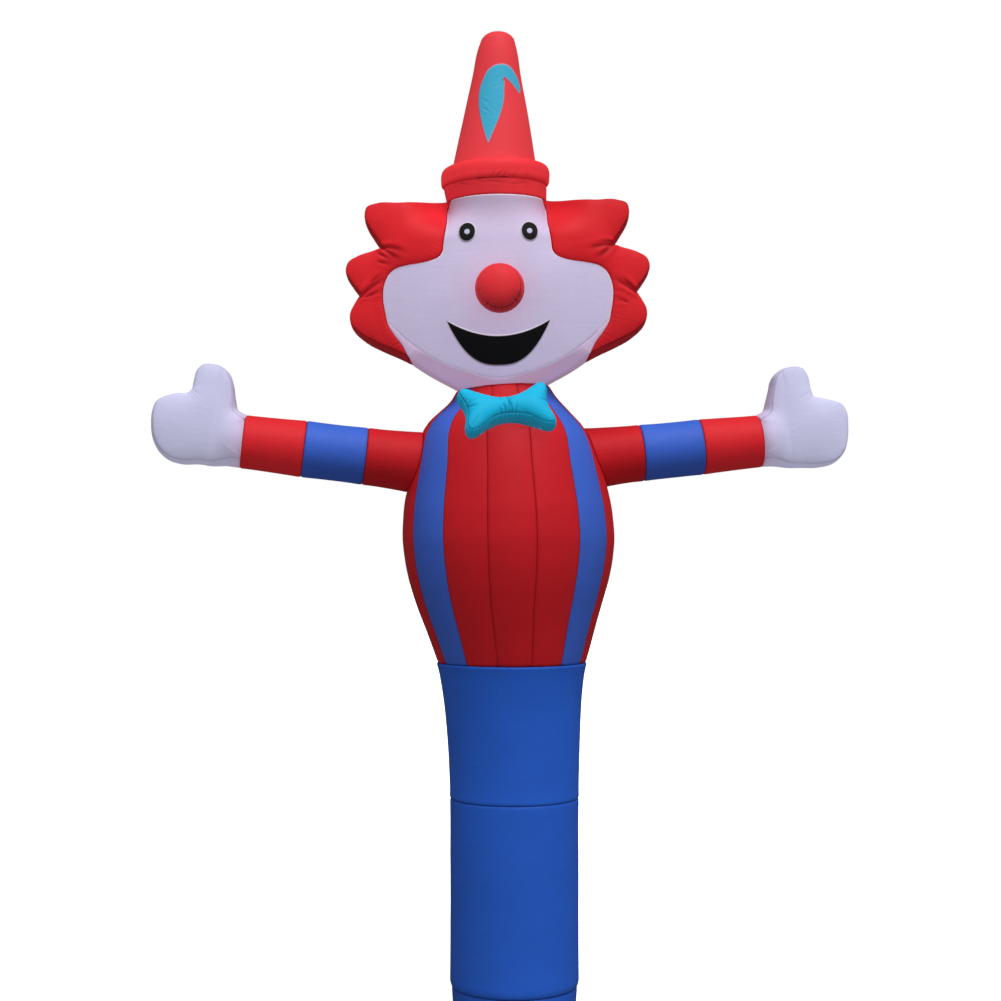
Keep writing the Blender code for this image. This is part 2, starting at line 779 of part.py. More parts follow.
def hair_lines():
    """The left hair's seam to the face, its rim, and the rim's normals."""
    seam = polar(column(HAIR, "angle"), column(HAIR, "seam"))
    rim_line = polar(column(HAIR, "angle"), column(HAIR, "rim"))
    seam[0] = (-HAIR_AT_RING, HAT_RING_UP)
    rim_line[0] = (-HAT_CORNER, HAT_RING_UP)
    normals = outward_normals(rim_line, ring=False)
    normals = normals if normals[0, 0] < 0 else -normals
    normals[0] = (-1, 0)
    return seam, rim_line, normals


def head_borders():
    """Half borders of the face panel and of the back panel: flat points and directions into the head."""
    angle = np.array(RING_ANGLES)
    ring = polar(angle, HAT_RING_UP / np.sin(np.radians(angle)))
    seam, rim_line, normals = hair_lines()
    chin = halved(polar(column(CHIN, "angle"), column(CHIN, "reach")))[1:]
    nape = polar(column(NAPE, "angle"), column(NAPE, "reach"))[1:]
    face = np.concatenate([ring, seam[:CHIN_ROWS], chin])
    turned = eased(np.arange(1, len(chin) + 1) / CHIN_TURN)[:, None]
    chin_inward = head_surface(chin)[1] * (1 - turned) + unit(side_lean(unit(chin))) * turned
    face_inward = [to_hat(ring), seam_inward(seam)[:CHIN_ROWS], chin_inward]
    back = np.concatenate([ring, rim_line, nape])
    back_inward = [to_hat(ring), rim_inward(rim_line, normals), side_lean(unit(nape))]
    return (face, unit(np.concatenate(face_inward))), (back, unit(np.concatenate(back_inward)))


def seam_inward(seam):
    """Directions into the head along the hair's seam to the face, and below that to the funnel."""
    inward = head_surface(seam)[1]
    inward[0] = to_hat(seam[0])
    return unit(inward)


def rim_inward(rim_line, normals):
    """Directions into the head along the hair's rim."""
    inward = side_lean(normals)
    inward[0] = to_hat(rim_line[0])
    return unit(inward)


def head_panel(name, border, border_inward, finish, side):
    """A panel of the head over its whole middle, in front (-1) or at the back (1)."""
    steps = np.array(HEAD_STEPS)[None, :, None]
    outer, inward = head_surface(mirrored(border)[:, None] * steps)
    inward[:, -1] = mirrored(border_inward)
    flip = np.array([1, -side, 1])
    return sheet(name, *head_place(outer * flip, inward * flip), finish, ring=True, hub=True)


def hair_grid():
    """The left hair's front, from its seam with the face out to its rim, and directions into the head."""
    seam, rim_line, normals = hair_lines()
    steps = np.array(HAIR_STEPS)[None, :, None]
    outer, inward = head_surface(seam[:, None] * (1 - steps) + rim_line[:, None] * steps)
    inward[0] = to_hat(outer[0][:, [0, 2]])
    inward[:, 0], inward[:, -1] = seam_inward(seam), rim_inward(rim_line, normals)
    inward[-1] = inward[-1, -1]
    return outer, inward


def gusset_grid():
    """The left hair gusset, from the hat's ring down to the neck and from front to back."""
    _, rim_line, normals = hair_lines()
    across = np.linspace(-1, 1, 4)[None, :]
    flat = rim_line[:, None] + normals[:, None] * (GUSSET_BULGE * (1 - across**2))[..., None]
    outer = np.stack([flat[..., 0], head_depth(rim_line)[:, None] * across, flat[..., 1]], axis=-1)
    level = np.broadcast_to(-normals[:, None], flat.shape)
    inward = np.stack([level[..., 0], np.broadcast_to(-across, level.shape[:2]), level[..., 1]], axis=-1)
    for edge, flip in ((0, 1), (-1, -1)):
        inward[:, edge] = rim_inward(rim_line, normals) * [1, flip, 1]
    return outer, unit(inward)


def neck_ring(flip, start, end, count):
    """Points of the neck's ring on one side, between two angles from the front, and directions inward."""
    points, inward = round_grid(NECK_RADIUS, NECK, -flip * turn(start, end, count))
    points[:, 2] += neck_rise(points[:, 0] - spine(NECK), NECK)
    return points, inward


def drawn_in(upper, lower):
    """Points from an upper to a lower edge, swollen between them, and directions inward between theirs."""
    (top, top_inward), (bottom, bottom_inward) = upper, lower
    steps = np.linspace(0, 1, FUNNEL_CELLS + 1)[None, :, None]
    swell = FUNNEL_SWELL * np.linalg.norm(bottom - top, axis=-1)[:, None, None] * 4 * steps * (1 - steps)
    away = unit((top + bottom - 2 * np.array(HEAD_MIDDLE)) * [1, 1, 0])[:, None]
    points = top[:, None] * (1 - steps) + bottom[:, None] * steps + away * swell
    return points, top_inward[:, None] * (1 - steps) + bottom_inward[:, None] * steps


def funnel_edges(flip):
    """One side's upper and lower edges of the funnel's two strips, each as points and directions inward.

    The front strip starts in a point on the cheek. It runs between the chin and the hair, then down the side
    seam to the neck's ring. The back strip runs from that seam round to the nape.
    """
    (face, face_inward), (back, back_inward) = head_borders()
    cheek, cheek_inward = [part[CHIN_ROWS - 1 : -1, 0] for part in hair_grid()]
    gusset, gusset_inward = gusset_grid()
    front, behind = np.array([flip, 1, 1]), np.array([flip, -1, 1])
    start = len(RING_ANGLES) + CHIN_ROWS - 1
    chin = head_place(head_surface(face[start:])[0] * front, face_inward[start:] * front)
    cheek = head_place(cheek * front, cheek_inward * front)
    corner = head_place(gusset[-1] * front, gusset_inward[-1] * front)
    start = len(RING_ANGLES) + len(HAIR)
    nape = head_place(head_surface(back[start:])[0] * behind, back_inward[start:] * behind)
    side = drawn_in([part[:1] for part in corner], neck_ring(flip, FUNNEL_SEAM, FUNNEL_SEAM, 1))
    front_ring = neck_ring(flip, FUNNEL_SEAM, 0, FUNNEL_FRONT + 1)
    lower = [np.concatenate([one, two[0], three[1:]]) for one, two, three in zip(cheek, side, front_ring)]
    upper_back = [np.concatenate(parts) for parts in zip(corner, nape)]
    lower_back = neck_ring(flip, FUNNEL_SEAM, 180, len(upper_back[0]))
    return chin, lower, upper_back, lower_back


def funnel():
    """The white cloth that draws the head in to the neck's ring: one strip in front, one at the back."""
    left, right = funnel_edges(1), funnel_edges(-1)
    edges = [
        [np.concatenate([one, other[-2::-1]]) for one, other in zip(here, there)]
        for here, there in zip(left, right)
    ]
    sheet("chin_funnel", *drawn_in(edges[0], edges[1]), "white", tips=(0, -1))
    sheet("nape_funnel", *drawn_in(edges[2], edges[3]), "white")


def head():
    """The face, the hair, the back of the head and the funnel to the neck."""
    face, back = head_borders()
    face_panel = head_panel("face_panel", *face, "white", -1)
    head_panel("hair_back", *back, "red", 1)
    for side, flip in (("left", np.array([1, 1, 1])), ("right", np.array([-1, 1, 1]))):
        for name, tips, (outer, inward) in (("front", (-1,), hair_grid()), ("gusset", (), gusset_grid())):
            sheet(f"hair_{name}_{side}", *head_place(outer * flip, inward * flip), "red", tips=tips)
    funnel()
    return face_panel


# ---------------------------------------------------------------- face


def surface(made):
    """A piece's faces, ready for rays."""
    corners = [point.co for point in made.data.vertices]
    return BVHTree.FromPolygons(corners, [list(face.vertices) for face in made.data.polygons])


def depths(below, points):
    """Where rays from the front, through each point, meet the piece below."""
    hits = [below.ray_cast((x, -2.0, z), (0, 1, 0))[0].y for x, _, z in points.reshape(-1, 3)]
    return np.array(hits).reshape(points.shape[:-1])


def laid_on(below, points, lift, ring=False):
    """A grid of points, brought to the front of the piece below so that all of it clears it."""
    points = points.copy()
    points[..., 1] = depths(below, points)
    closed = np.concatenate([points, points[:1]]) if ring else points
    a, b, c, d = closed[:-1, :-1], closed[1:, :-1], closed[1:, 1:], closed[:-1, 1:]
    short = 0.0
    for near, one, other in ((a, b, c), (a, c, d), (b, c, d), (a, b, d)):
        for share in np.linspace(0, 1, 8):
            for cut in np.linspace(0, 1, 8):
                place = near + share * (one - near + cut * (other - one))
                short = max(short, (place[..., 1] - depths(below, place)).max())
    points[..., 1] -= short + lift
    return points


def patch(name, below, points, finish, ring=False, hub=False):
    """A thin patch that lies on the front of the piece below it."""
    outer = laid_on(surface(below), points, PATCH_LIFT + PATCH, ring)
    inward = np.broadcast_to(np.array([0, 1.0, 0]), outer.shape)
    return sheet(name, outer, inward, finish, ring=ring, hub=hub, thickness=PATCH, edges=False)


def on_face(right, up):
    """World points over flat points of the head's plane."""
    right, up = np.broadcast_arrays(right, up)
    return head_place(np.stack([right, np.zeros_like(right), up], axis=-1), np.zeros(3))[0]


def oval(middle, size, sides, rings):
    """Points of an oval patch on the face, from its middle out."""
    angle = turn(0, 360, sides + 1)[:-1, None]
    steps = np.linspace(0, 1, rings + 1)[None, :]
    return on_face(middle[0] + size[0] * steps * np.cos(angle), middle[1] + size[1] * steps * np.sin(angle))


def eyes(face_panel):
    """Each eye's black oval and the white dot on it."""
    for side, middle in EYES.items():
        eye = patch(f"eye_{side}", face_panel, oval(middle, EYE_SIZE, 16, 2), "black", ring=True, hub=True)
        dot = oval(middle, (PUPIL_RADIUS, PUPIL_RADIUS), 8, 1)
        patch(f"pupil_{side}", eye, dot, "white", ring=True, hub=True)


def mouth(face_panel):
    """The black smile: between two arcs that meet at its tips."""
    across = np.linspace(-MOUTH_END, MOUTH_END, 15)[:, None]
    top = MOUTH_TIP + (MOUTH_TOP - MOUTH_TIP) * (1 - across**2)
    bottom = MOUTH_TIP + (MOUTH_BOTTOM - MOUTH_TIP) * (1 - np.abs(across) ** MOUTH_FULL)
    up = top + (bottom - top) * np.linspace(0, 1, 5)[None, :]
    patch("mouth", face_panel, on_face(across * MOUTH_HALF_WIDTH, up), "black")


def nose(face_panel):
    """The ball nose: a gathered front disc and the band that holds it off the face."""
    angle = turn(0, 360, NOSE_SIDES + 1)[:-1, None]
    rim_radius = NOSE_RIM - CLOTH * np.array([[0, 1]])
    right, up = rim_radius * np.cos(angle), rim_radius * np.sin(angle)
    rim_line = on_face(NOSE_MIDDLE[0] + right, NOSE_MIDDLE[1] + up)
    rim_line = laid_on(surface(face_panel), rim_line, SEAM_GAP, ring=True)
    base = rim_line[:, 0, 1].mean()
    for name, table, hub in (("nose_side", NOSE_SIDE, False), ("nose_front", NOSE_FRONT, True)):
        radius, out = column(table, "radius")[None, :], column(table, "out")[None, :]
        right = NOSE_MIDDLE[0] + radius * np.cos(angle)
        up = NOSE_MIDDLE[1] + radius * np.sin(angle)
        outer = np.stack([right, np.zeros_like(right), up], axis=-1)
        flat = np.broadcast_to(radius, right.shape) / NOSE_SEAM
        back = 1 - 0.5 * flat if hub else 0.0 * flat + 0.3
        inward = np.stack([-np.cos(angle) * flat, back, -np.sin(angle) * flat], axis=-1)
        inward[:, -1] = inward_at_nose_seam(angle)
        outer, inward = head_place(outer, inward)
        outer[..., 1] = base - out
        if not hub:
            outer[:, 0] = rim_line[:, 0]
            inward[:, 0] = rim_line[:, 1] - rim_line[:, 0]
        sheet(name, outer, inward, "red", ring=True, hub=hub)


def inward_at_nose_seam(angle):
    """The mitre that the nose's band and its front disc share."""
    return np.concatenate([-np.cos(angle), np.full_like(angle, 0.8), -np.sin(angle)], axis=-1)


# ---------------------------------------------------------------- hat


def hoops(table, angle):
    """Points round a hat's hoops and the directions to their middles; angle 0 faces the front."""
    lean = np.radians(column(table, "lean"))
    right = np.stack([np.cos(lean), np.zeros_like(lean), np.sin(lean)], axis=-1)
    middle = np.stack([column(table, "across"), np.zeros_like(lean), column(table, "height")], axis=-1)
    angle = angle[..., None]
    inward = -(np.sin(angle) * right + np.cos(angle) * np.array([0, -1.0, 0]))
    return middle - inward * column(table, "radius")[:, None], inward


def hat():
    """The band on the head, the padded roll of the brim, and the cone."""
    angle = turn(0, 360, HAT_SIDES + 1)[:-1, None]
    sheet("hat_band", *hoops(HAT_BAND, angle), "red", ring=True)
    outer, inward = hoops(HAT_ROLL, angle)
    fall = np.array([0, -0.2, 0.1, 0.6, 1.6, 0.0])
    inward = inward - fall[None, :, None] * np.array([0, 0, 1.0])
    sheet("hat_roll", outer, inward, "red", ring=True)
    cone = HAT_CONE[::-1]
    outer, inward = hoops(cone, angle)
    drop = np.array([4.0, 1.6, 0.8, 0.4, 0.2, 0.2, 0.0])
    inward = inward - drop[None, :, None] * np.array([0, 0, 1.0])
    inward[:, 0] = (0, 0, -1)
    feather(sheet("hat_cone", outer, inward, "red", ring=True, hub=True))


def feather(cone):
    """The feather patch: a blade laid along its spine."""
    spine_line = np.stack([column(FEATHER, "across"), column(FEATHER, "height")], axis=-1)
    run = unit(np.gradient(spine_line, axis=0))
    side = np.stack([-run[:, 1], run[:, 0]], axis=-1)
    across = np.linspace(-1, 1, FEATHER_CELLS + 1)[None, :, None]
    flat = spine_line[:, None] + side[:, None] * column(FEATHER, "half_width")[:, None, None] * across
    points = np.stack([flat[..., 0], np.zeros(flat.shape[:2]), flat[..., 1]], axis=-1)
    patch("hat_feather", cone, points, "teal")


# ---------------------------------------------------------------- bow tie


def bow_axes():
    """The bow's directions: along it, up across it, and out of its front."""
    out = np.array([math.sin(BOW_YAW) * math.cos(BOW_PITCH), -math.cos(BOW_YAW) * math.cos(BOW_PITCH),
                    math.sin(BOW_PITCH)])
    level = unit(np.cross((0, 0, 1), out))
    level = level if level[0] > 0 else -level
    rise = unit(np.cross(out, level))
    rise = rise if rise[2] > 0 else -rise
    along = math.cos(BOW_ROLL) * level + math.sin(BOW_ROLL) * rise
    up = -math.sin(BOW_ROLL) * level + math.cos(BOW_ROLL) * rise
    return along, up, out


def bow_outline():
    """The whole outline of the bow's front seam, from its first quarter."""
    quarter = np.stack([column(BONE, "along"), column(BONE, "up")], axis=-1)
    half = np.concatenate([quarter, (quarter * [-1, 1])[-2::-1]])
    return np.concatenate([half, (half * [1, -1])[-2:0:-1]])


def seat_on_torso(points):
    """How far forward points must move so that they just clear the torso."""
    near_by, far = 0.0, 0.6
    for _ in range(30):
        middle = (near_by + far) / 2
        clear = clear_of_torso(points - [0, middle, 0]).min()
        near_by, far = (near_by, middle) if clear > BOW_CLEARANCE else (middle, far)
    return far


def bow():
    """The bow tie: a front and a back panel and the gusset round their edge."""
    along, up, out = bow_axes()
    outline = bow_outline()
    normals = outward_normals(outline, ring=True)
    if (normals * outline).sum() < 0:
        normals = -normals
    steps = np.array([0, 0.5, 0.8, 1.0])
    flat, thick = crowned(outline, np.full(len(outline), BOW_EDGE), BOW_FRONT, BOW_CROWN, steps)
    spread = flat[..., :1] * along + flat[..., 1:] * up
    edge_lean = (steps[None, :, None] ** 2) * (normals[:, None, :1] * along + normals[:, None, 1:] * up)
    middle = np.array(BOW_MIDDLE)
    middle[1] -= seat_on_torso(middle + spread - thick[..., None] * out)
    for side, face in ((1, "front"), (-1, "back")):
        outer = middle + spread + side * thick[..., None] * out
        sheet(f"bow_{face}", outer, -(edge_lean + side * out), "cyan", ring=True, hub=True)
    across = np.linspace(-1, 1, 3)[None, :]
    flat = outline[:, None] + normals[:, None] * (BOW_BULGE * (1 - across**2))[..., None]
    outer = middle + flat[..., :1] * along + flat[..., 1:] * up + (across * BOW_EDGE)[..., None] * out
    inward = -(normals[:, None, :1] * along + normals[:, None, 1:] * up) - across[..., None] * out
    sheet("bow_gusset", outer, inward, "cyan", ring=True)


def stand():
    """Moves the finished figure so that the origin lies on the floor under the middle of its box."""
    pieces = [item for item in bpy.data.objects if item.type == "MESH" and not item.hide_render]
    corners = np.array([point.co for item in pieces for point in item.data.vertices])
    middle = (corners.min(axis=0) + corners.max(axis=0)) / 2
    for item in bpy.data.objects:
        item.data.transform(Matrix.Translation((-middle[0], -middle[1], 0)))


def main():
    """Builds the whole figure in an empty scene."""
    for item in list(bpy.data.objects):
        bpy.data.objects.remove(item)
    for build in (leg, torso, arms, hands, hat, bow):
        build()
    face_panel = head()
    for build in (eyes, mouth, nose):
        build(face_panel)
    stand()


main()
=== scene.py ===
"""Dresses the inflatable air dancer in its cloth, as its blower holds it up.

Each cut piece of the clown is a fine grid of points on the outer face of its cloth. Neighbours share their
seam lines, so that their edges meet. A piece is blown up between its seams like a skin, then drawn in,
gathered and creased along them, and gets its thickness last.

Lengths are metres. +Z is up and the figure faces -Y. The tables have the leg's axis at x = 0.030, y = 0, and
every piece is moved by the same step to where the frame stands.
"""

import logging
import math
from dataclasses import dataclass, field, replace
from enum import Enum
from functools import cache
from typing import Any, NamedTuple, Sequence

import bpy
import numpy as np
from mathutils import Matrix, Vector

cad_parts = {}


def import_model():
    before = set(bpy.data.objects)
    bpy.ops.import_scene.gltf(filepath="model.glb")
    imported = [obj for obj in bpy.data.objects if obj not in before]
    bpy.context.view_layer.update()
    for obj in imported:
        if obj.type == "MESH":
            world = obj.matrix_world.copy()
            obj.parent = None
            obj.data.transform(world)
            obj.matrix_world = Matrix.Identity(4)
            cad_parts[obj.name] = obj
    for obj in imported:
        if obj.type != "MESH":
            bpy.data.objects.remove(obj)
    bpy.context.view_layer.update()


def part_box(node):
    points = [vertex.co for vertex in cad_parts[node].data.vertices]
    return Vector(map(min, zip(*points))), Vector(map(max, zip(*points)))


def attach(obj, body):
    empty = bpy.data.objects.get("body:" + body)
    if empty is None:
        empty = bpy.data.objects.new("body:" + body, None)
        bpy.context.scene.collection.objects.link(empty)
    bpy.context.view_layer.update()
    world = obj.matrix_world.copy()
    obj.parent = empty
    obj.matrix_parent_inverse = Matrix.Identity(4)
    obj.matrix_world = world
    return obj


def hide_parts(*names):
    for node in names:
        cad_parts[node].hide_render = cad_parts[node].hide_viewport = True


log = logging.getLogger("air_dancer")
Array = np.ndarray

# ---- sizes that several sub-assemblies share

THICKNESS = 0.0012
TINY = 1e-9
LEG_AXIS = 0.03
COLLAR_TOP = 0.141
LEG_SEAM = 0.801
WAIST = 1.2775
SHOULDER = 2.12
NECK = 2.245
NECK_RADIUS = 0.16
NECK_LEAN = 0.065
WRIST_RADIUS = 0.091
SLACK = 0.0007
SLACK_WAVES = (0.085, 0.11, 0.14, 0.175, 0.22, 0.27)
SLACK_GUARD = 0.02
SINK_REACH = 0.0045
FULL_FOLD = 0.003
# The colour of the highlight painted along the lip of some seams.
LIP_HIGHLIGHT = (0.9, 0.84, 0.93)
LIP_RISE = 0.0025
GATHER_RISE = 0.0045
WANDER = 0.5
ANY_PHASE = 6.3
LOBE_FLOOR = 0.002
LOBE_MIDDLE = 0.75
MEMBRANE_ROWS = 84
MEMBRANE_COLUMNS = 15


# ---- small mathematics


def unit(vectors: Array) -> Array:
    """Returns the same directions, one unit long; those without a length stay as they are."""
    length = np.linalg.norm(vectors, axis=-1, keepdims=True)
    return vectors / np.where(length > TINY, length, 1)


def eased(share: Array | float) -> Array:
    """Returns 3t^2 - 2t^3 of a share held between 0 and 1, which is level at both ends."""
    share = np.clip(share, 0, 1)
    return share * share * (3 - 2 * share)


def turns(cells: int, start: float = 0) -> Array:
    """Returns a column of even angles once round, in radians, from a start in degrees."""
    return np.radians(np.linspace(start, start + 360, cells + 1))[:-1, None]


def grid(*parts: Array | float) -> Array:
    """Returns points from their coordinates, which are spread to one another's shape."""
    return np.stack(np.broadcast_arrays(*parts), axis=-1)


def rows_of(kind: type, *numbers: tuple[Any, ...]) -> tuple[Any, ...]:
    """Returns a table: a row of one kind for each of the tuples of numbers."""
    return tuple(kind(*row) for row in numbers)


def polar(angle: Array | float, reach: Array | float) -> Array:
    """Returns flat points from angles in degrees and distances."""
    angle = np.radians(angle)
    return grid(np.cos(angle) * reach, np.sin(angle) * reach)


def lengths(line: Array) -> Array:
    """Returns how far along a row of points each one lies, from 0."""
    steps = np.linalg.norm(np.diff(line, axis=0), axis=-1)
    return np.concatenate([np.zeros_like(steps[:1]), np.cumsum(steps, axis=0)])


def resample(values: Array, places: Array, closed: bool = False) -> Array:
    """Reads an array between its rows with a Catmull-Rom cubic.

    Args:
        values: The array, read along its first axis.
        places: Where to read it, in rows.
        closed: Whether the last row is followed by the first.

    Returns:
        The values at the places, in their order.
    """
    count = len(values)
    if closed:
        padded = np.concatenate([values[-1:], values, values[:3]])
    else:
        padded = np.concatenate([2 * values[:1] - values[1:2], values, 2 * values[-1:] - values[-2:-1]])
    before = np.clip(np.floor(places).astype(int), 0, count - (1 if closed else 2))
    t = (places - before).reshape((-1,) + (1,) * (values.ndim - 1))
    a, b, c, d = (padded[before + step] for step in range(4))
    return b + t / 2 * (c - a + t * (2 * a - 5 * b + 4 * c - d + t * (3 * (b - c) + d - a)))


def steps(length: float, fine: float, coarse: float, ease: float, ends: tuple[bool, bool]) -> Array:
    """Spaces places from 0 to 1 that lie closer together near one or both ends.

    Args:
        length: The length that 0 to 1 stands for.
        fine: The step at a refined end.
        coarse: The step far from it.
        ease: The distance from the one to the other.
        ends: Whether the start and the finish are refined.

    Returns:
        The places.
    """
    along = np.linspace(0, length, 400)
    near = np.ones_like(along)
    if ends[0]:
        near = np.minimum(near, along / ease)
    if ends[1]:
        near = np.minimum(near, (length - along) / ease)
    cells = lengths((np.cumsum(1 / (fine + (coarse - fine) * near)) * along[1])[:, None])
    count = max(4, int(round(float(cells[-1])))) + 1
    return np.interp(np.linspace(0, cells[-1], count), cells, along) / length


def hermite(t: Array, size: Array, values: tuple[Array, Array], slopes: tuple[Array, Array]) -> Array:
    """Returns the Hermite cubic between two values at shares of a step, with its slopes at both ends."""
    ends = (1 + 2 * t) * (1 - t) ** 2 * values[0] + t * (1 - t) ** 2 * size * slopes[0]
    return ends + t * t * (3 - 2 * t) * values[1] - t * t * (1 - t) * size * slopes[1]


class Profile:
    """One column of a table read against another, on a cubic that never overshoots the rows."""

    def __init__(self, rows: Sequence[NamedTuple], key: str, value: str) -> None:
        """Sets each row's slope to the harmonic mean of those beside it, or level at a turn.

        Args:
            rows: The table.
            key: The column that it is read by.
            value: The column that is read.
        """
        self.x = np.array([getattr(row, key) for row in rows], float)
        self.y = np.array([getattr(row, value) for row in rows], float)
        slope = np.diff(self.y) / np.diff(self.x)
        self.tangent = np.concatenate(([slope[0]], np.zeros(len(slope) - 1), [slope[-1]]))
        before, after = slope[:-1], slope[1:]
        rising = before * after > 0
        self.tangent[1:-1][rising] = 2 * before[rising] * after[rising] / (before[rising] + after[rising])

    def __call__(self, at: Array | float) -> Array:
        """Reads the cubic Hermite curve between the two rows round each place.

        Args:
            at: The places.

        Returns:
            The values.
        """
        at = np.asarray(at, float)
        i = np.clip(np.searchsorted(self.x, at, side="right") - 1, 0, len(self.x) - 2)
        step = self.x[i + 1] - self.x[i]
        t = (at - self.x[i]) / step
        return hermite(t, step, (self.y[i], self.y[i + 1]), (self.tangent[i], self.tangent[i + 1]))


class Line:
    """A smooth line through points, which turns at once at its sharp ones.

    Each cubic's end slopes blend those of the chords on both sides, weighted by the other's length.
    """

    def __init__(self, points: Array, sharp: Sequence[int] = (), closed: bool = False) -> None:
        """Works out the slopes on both sides of every point.

        Args:
            points: The points.
            sharp: The places of the sharp ones.
            closed: Whether the line closes on itself.
        """
        points = np.asarray(points, float)
        self.stretches = len(points) - (0 if closed else 1)
        self.points = np.concatenate([points, points[:1]]) if closed else points
        chords = np.diff(self.points, axis=0)
        size = np.linalg.norm(chords, axis=-1, keepdims=True)
        slope = chords / size
        before, after = np.roll(slope, 1, axis=0), slope
        weight = np.roll(size, 1, axis=0) / (np.roll(size, 1, axis=0) + size)
        middle = before * (1 - weight) + after * weight
        self.leaving = middle.copy()
        self.arriving = np.roll(middle, -1, axis=0)
        if not closed:
            self.leaving[0], self.arriving[-1] = slope[0], slope[-1]
        for place in sharp:
            self.leaving[place] = slope[place]
            self.arriving[place - 1] = slope[place - 1]
        self.size = size

    def at(self, places: Array | float) -> Array:
        """Reads the line's cubics.

        Args:
            places: Places counted in rows.

        Returns:
            The points there.
        """
        places = np.atleast_1d(np.asarray(places, float))
        i = np.clip(np.floor(places).astype(int), 0, self.stretches - 1)
        t = (places - i)[:, None]
        values, slopes = (self.points[i], self.points[i + 1]), (self.leaving[i], self.arriving[i])
        return hermite(t, self.size[i], values, slopes)

    def places(self, spacing: float, start: float = 0, end: float | None = None) -> Array:
        """Spreads places evenly by length.

        Args:
            spacing: About how far apart they lie.
            start: The first place, in rows.
            end: The last place.

        Returns:
            The places.
        """
        end = self.stretches if end is None else end
        fine = np.linspace(start, end, 24 * self.stretches)
        along = lengths(self.at(fine))
        return np.interp(np.linspace(0, along[-1], int(along[-1] / spacing) + 2), along, fine)


def outward(line: Array, closed: bool, middle: Array) -> Array:
    """Works out the normals of a flat line from the run of its points.

    Args:
        line: The line.
        closed: Whether it closes on itself.
        middle: The point that the normals face away from.

    Returns:
        The normals.
    """
    run = np.gradient(line, axis=0)
    if closed:
        run = np.roll(line, -1, axis=0) - np.roll(line, 1, axis=0)
    normals = unit(grid(run[:, 1], -run[:, 0]))
    return normals if (normals * (line - middle)).sum() > 0 else -normals


def laid_out(middle: Array, axes: Sequence[Array], flat: Array, depth: Array) -> Array:
    """Returns the points over flat points, along two directions from a middle and a depth along a third."""
    return middle + flat[..., :1] * axes[0] + flat[..., 1:] * axes[1] + depth[..., None] * axes[2]


def mirrored(half: Array) -> Array:
    """Returns a whole outline from its half, which runs from the top's middle round to the bottom's."""
    flip = np.array([-1] + [1] * (half.shape[-1] - 1))
    return np.concatenate([half, (half * flip)[-2:0:-1]])


def grid_numbers(rows: int, columns: int, closed: bool, hub: bool) -> Array:
    """Numbers the points of a grid as its cells meet them.

    Args:
        rows: Its rows.
        columns: Its columns.
        closed: Whether the first row comes again at the end.
        hub: Whether the first column is one point.

    Returns:
        The numbers, row by row.
    """
    index = np.arange(rows * columns).reshape(rows, columns)
    if hub:
        index[:, 0] = index[0, 0]
    return np.concatenate([index, index[:1]]) if closed else index


def triangle_corners(index: Array) -> Array:
    """Splits a grid's cells in two, and leaves out what shrinks to a line at a hub.

    Args:
        index: The numbers of the grid's points.

    Returns:
        The triangles' corner numbers.
    """
    a, b, c, d = index[:-1, :-1], index[1:, :-1], index[1:, 1:], index[:-1, 1:]
    faces = np.concatenate([np.stack(part, axis=-1).reshape(-1, 3) for part in ((a, b, c), (a, c, d))])
    return faces[(faces[:, 0] != faces[:, 1]) & (faces[:, 1] != faces[:, 2]) & (faces[:, 0] != faces[:, 2])]


def blown_up(flat: Array, closed: bool, hub: bool) -> Array:
    """Works out how high a skin stands that is pinned at its seams and blown up from below.

    On a coarse grid, linear finite elements solve for a height whose Laplacian is the same everywhere. It is
    then read back onto the fine grid.

    Args:
        flat: The skin's flat points, rows x columns x 2.
        closed: Whether its rows close on themselves.
        hub: Whether its first column is one point.

    Returns:
        Heights from 0 at the seams to 1 at the highest point, rows x columns.
    """
    rows, columns = flat.shape[:2]
    down, across = MEMBRANE_ROWS, MEMBRANE_COLUMNS
    row_places = np.linspace(0, rows if closed else rows - 1, down, endpoint=not closed)
    column_places = np.linspace(0, columns - 1, across)
    coarse = resample(flat, row_places, closed).swapaxes(0, 1)
    coarse = resample(coarse, column_places).swapaxes(0, 1).reshape(-1, 2)
    faces = triangle_corners(grid_numbers(down, across, closed, hub))
    one, two, three = coarse[faces[:, 0]], coarse[faces[:, 1]], coarse[faces[:, 2]]
    first, second = two - one, three - one
    area = np.abs(first[:, 0] * second[:, 1] - first[:, 1] * second[:, 0]) / 2
    faces, area = faces[area > TINY], area[area > TINY]
    stiffness, load = np.zeros((down * across,) * 2), np.zeros(down * across)
    for corner in range(3):
        a, b, c = faces[:, corner], faces[:, corner - 2], faces[:, corner - 1]
        cotangent = ((coarse[b] - coarse[a]) * (coarse[c] - coarse[a])).sum(axis=1) / (4 * area)
        for i, j, sign in ((b, c, -1), (c, b, -1), (b, b, 1), (c, c, 1)):
            np.add.at(stiffness, (i, j), sign * cotangent)
        np.add.at(load, a, area / 3)
    pinned = np.zeros((down, across), bool)
    pinned[:, -1] = True
    if not hub:
        pinned[:, 0] = True
    if not closed:
        pinned[[0, -1]] = True
    free = np.flatnonzero(~pinned.ravel() & (load > 0))
    height = np.zeros(down * across)
    height[free] = np.linalg.solve(stiffness[np.ix_(free, free)], load[free])
    height = height.reshape(down, across)
    if hub:
        height[:, 0] = height[0, 0]
    back = np.arange(rows) * (down / rows if closed else (down - 1) / (rows - 1))
    height = resample(height, back, closed).T
    height = resample(height, np.arange(columns) * (across - 1) / (columns - 1)).T
    return np.clip(height / height.max(), 0, 1)


